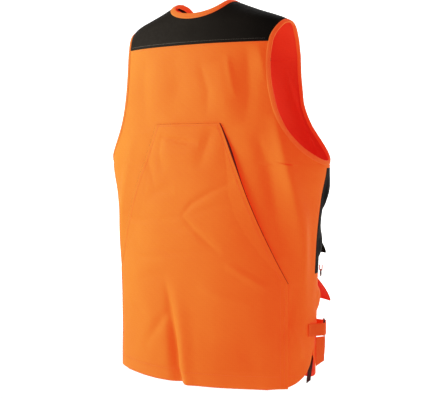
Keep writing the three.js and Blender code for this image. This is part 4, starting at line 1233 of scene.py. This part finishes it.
# each tooth is a block with a narrower nose that reaches between two teeth of the other row
def makeTeeth(name, hand, top, down, inward, length):
    pitch = 0.0025
    starts = np.arange(0.001 + (0 if hand > 0 else pitch / 2), length - 0.002, pitch)
    x = np.array((-0.0016, 0.0010, 0.0029, 0.0036))
    halfLong = np.array((0.0004, 0.00085, 0.0008, 0.0005))
    halfDeep = np.array((0.0007, 0.0012, 0.0016, 0.0008))
    rings = []
    for xi, hl, hd in zip(x, halfLong, halfDeep):
        for a, b in ((-1, -1), (1, -1), (1, 1), (-1, 1)):
            rings.append((hand * (xi + zipParts["inner"]), a * hl, zipParts["behind"] + b * hd))
    tooth = np.array(rings)
    faces = [(0, 1, 2, 3), (15, 14, 13, 12)]
    for k in range(3):
        for j in range(4):
            a, b = 4 * k + j, 4 * k + (j + 1) % 4
            faces.append((a, a + 4, b + 4, b))
    base = tooth[:, :1] * (1.0, 0.0, 0.0) + tooth[:, 1:2] * down + tooth[:, 2:3] * inward
    points = (base[None] + (top + starts[:, None] * down)[:, None]).reshape(-1, 3)
    quads = (np.array(faces)[None] + 16 * np.arange(len(starts))[:, None, None]).reshape(-1, 4)
    if enclosedVolume(points, quads) < 0:
        quads = quads[:, ::-1]
    piece = makeObject(f"zip-teeth-{name}", points, quads, [blackPlastic], smooth=False)
    finishPiece(piece, [], "vest")


makeZip()
makeThreads()
print("zip and stitches made")

# the hard parts that stay as the frame has them
kept = {"zip_slider": darkMetal, "zip_pull": darkMetal, "zip_box": blackPlastic}
for handName in hands:
    kept[f"strap_buckle_{handName}"] = blackPlastic
    kept[f"side_ring_{handName}"] = darkMetal
    for kind in pocketStyles:
        kept[f"{kind}_snap_cap_{handName}"] = darkMetal
        kept[f"{kind}_snap_stud_{handName}"] = darkMetal
for node, material in kept.items():
    nodes[node].data.materials.clear()
    nodes[node].data.materials.append(material)

# camera, light and floor

view = {"place": (-1.1472, 1.6383, -0.300), "target": (-0.0201, -0.0140, -0.398), "lens": 80.18}


def makeCamera():
    data = bpy.data.cameras.new("camera")
    data.lens = view["lens"]
    data.sensor_width = 36
    camera = bpy.data.objects.new("camera", data)
    bpy.context.scene.collection.objects.link(camera)
    camera.location = view["place"]
    camera.rotation_euler = (Vector(view["target"]) - Vector(view["place"])).to_track_quat("-Z", "Y").to_euler()
    bpy.context.scene.camera = camera


def makeLight(name, place, target, size, power, colour):
    data = bpy.data.lights.new(name, "AREA")
    data.shape = "RECTANGLE"
    data.size, data.size_y = size
    data.energy = power
    data.color = colour
    lamp = bpy.data.objects.new(name, data)
    bpy.context.scene.collection.objects.link(lamp)
    lamp.location = place
    lamp.rotation_euler = (Vector(target) - Vector(place)).to_track_quat("-Z", "Y").to_euler()


def makeStage():
    bpy.ops.mesh.primitive_plane_add(size=16, location=(0, 0, hemZ - 0.7))
    floor = bpy.context.active_object
    floor.name = "floor"
    bpy.ops.mesh.primitive_plane_add(size=16, location=(0, -3.2, 0), rotation=(math.pi / 2, 0, 0))
    wall = bpy.context.active_object
    wall.name = "wall"
    for piece, glow in ((floor, 0.35), (wall, 1.0)):
        m = Surface(f"pale {piece.name}", Roughness=0.9, Emission_Strength=glow)
        m.shader.inputs["Emission Color"].default_value = (1, 1, 1, 1)
        tone = m.noise(m.place(source="Object"), 3.0)
        m.link(m.mix(tone, (0.90, 0.90, 0.90, 1), (0.94, 0.94, 0.94, 1)), "Base Color")
        piece.data.materials.append(m.material)
    world = bpy.data.worlds.new("studio")
    bpy.context.scene.world = world
    world.use_nodes = True
    world.node_tree.nodes["Background"].inputs["Color"].default_value = (1, 1, 1, 1)
    world.node_tree.nodes["Background"].inputs["Strength"].default_value = 0.12


makeCamera()
makeStage()
bpy.context.scene.view_settings.view_transform = "Standard"
middle = (0, 0, -0.38)
makeLight("key", (1.45, 0.95, 0.30), (0, 0, -0.30), (0.9, 1.1), 52, (1.0, 0.95, 0.80))
makeLight("fill", (-1.6, 2.2, 0.0), middle, (1.6, 2.0), 5, (1.0, 0.80, 0.72))

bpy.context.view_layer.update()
bpy.ops.object.select_all(action="DESELECT")
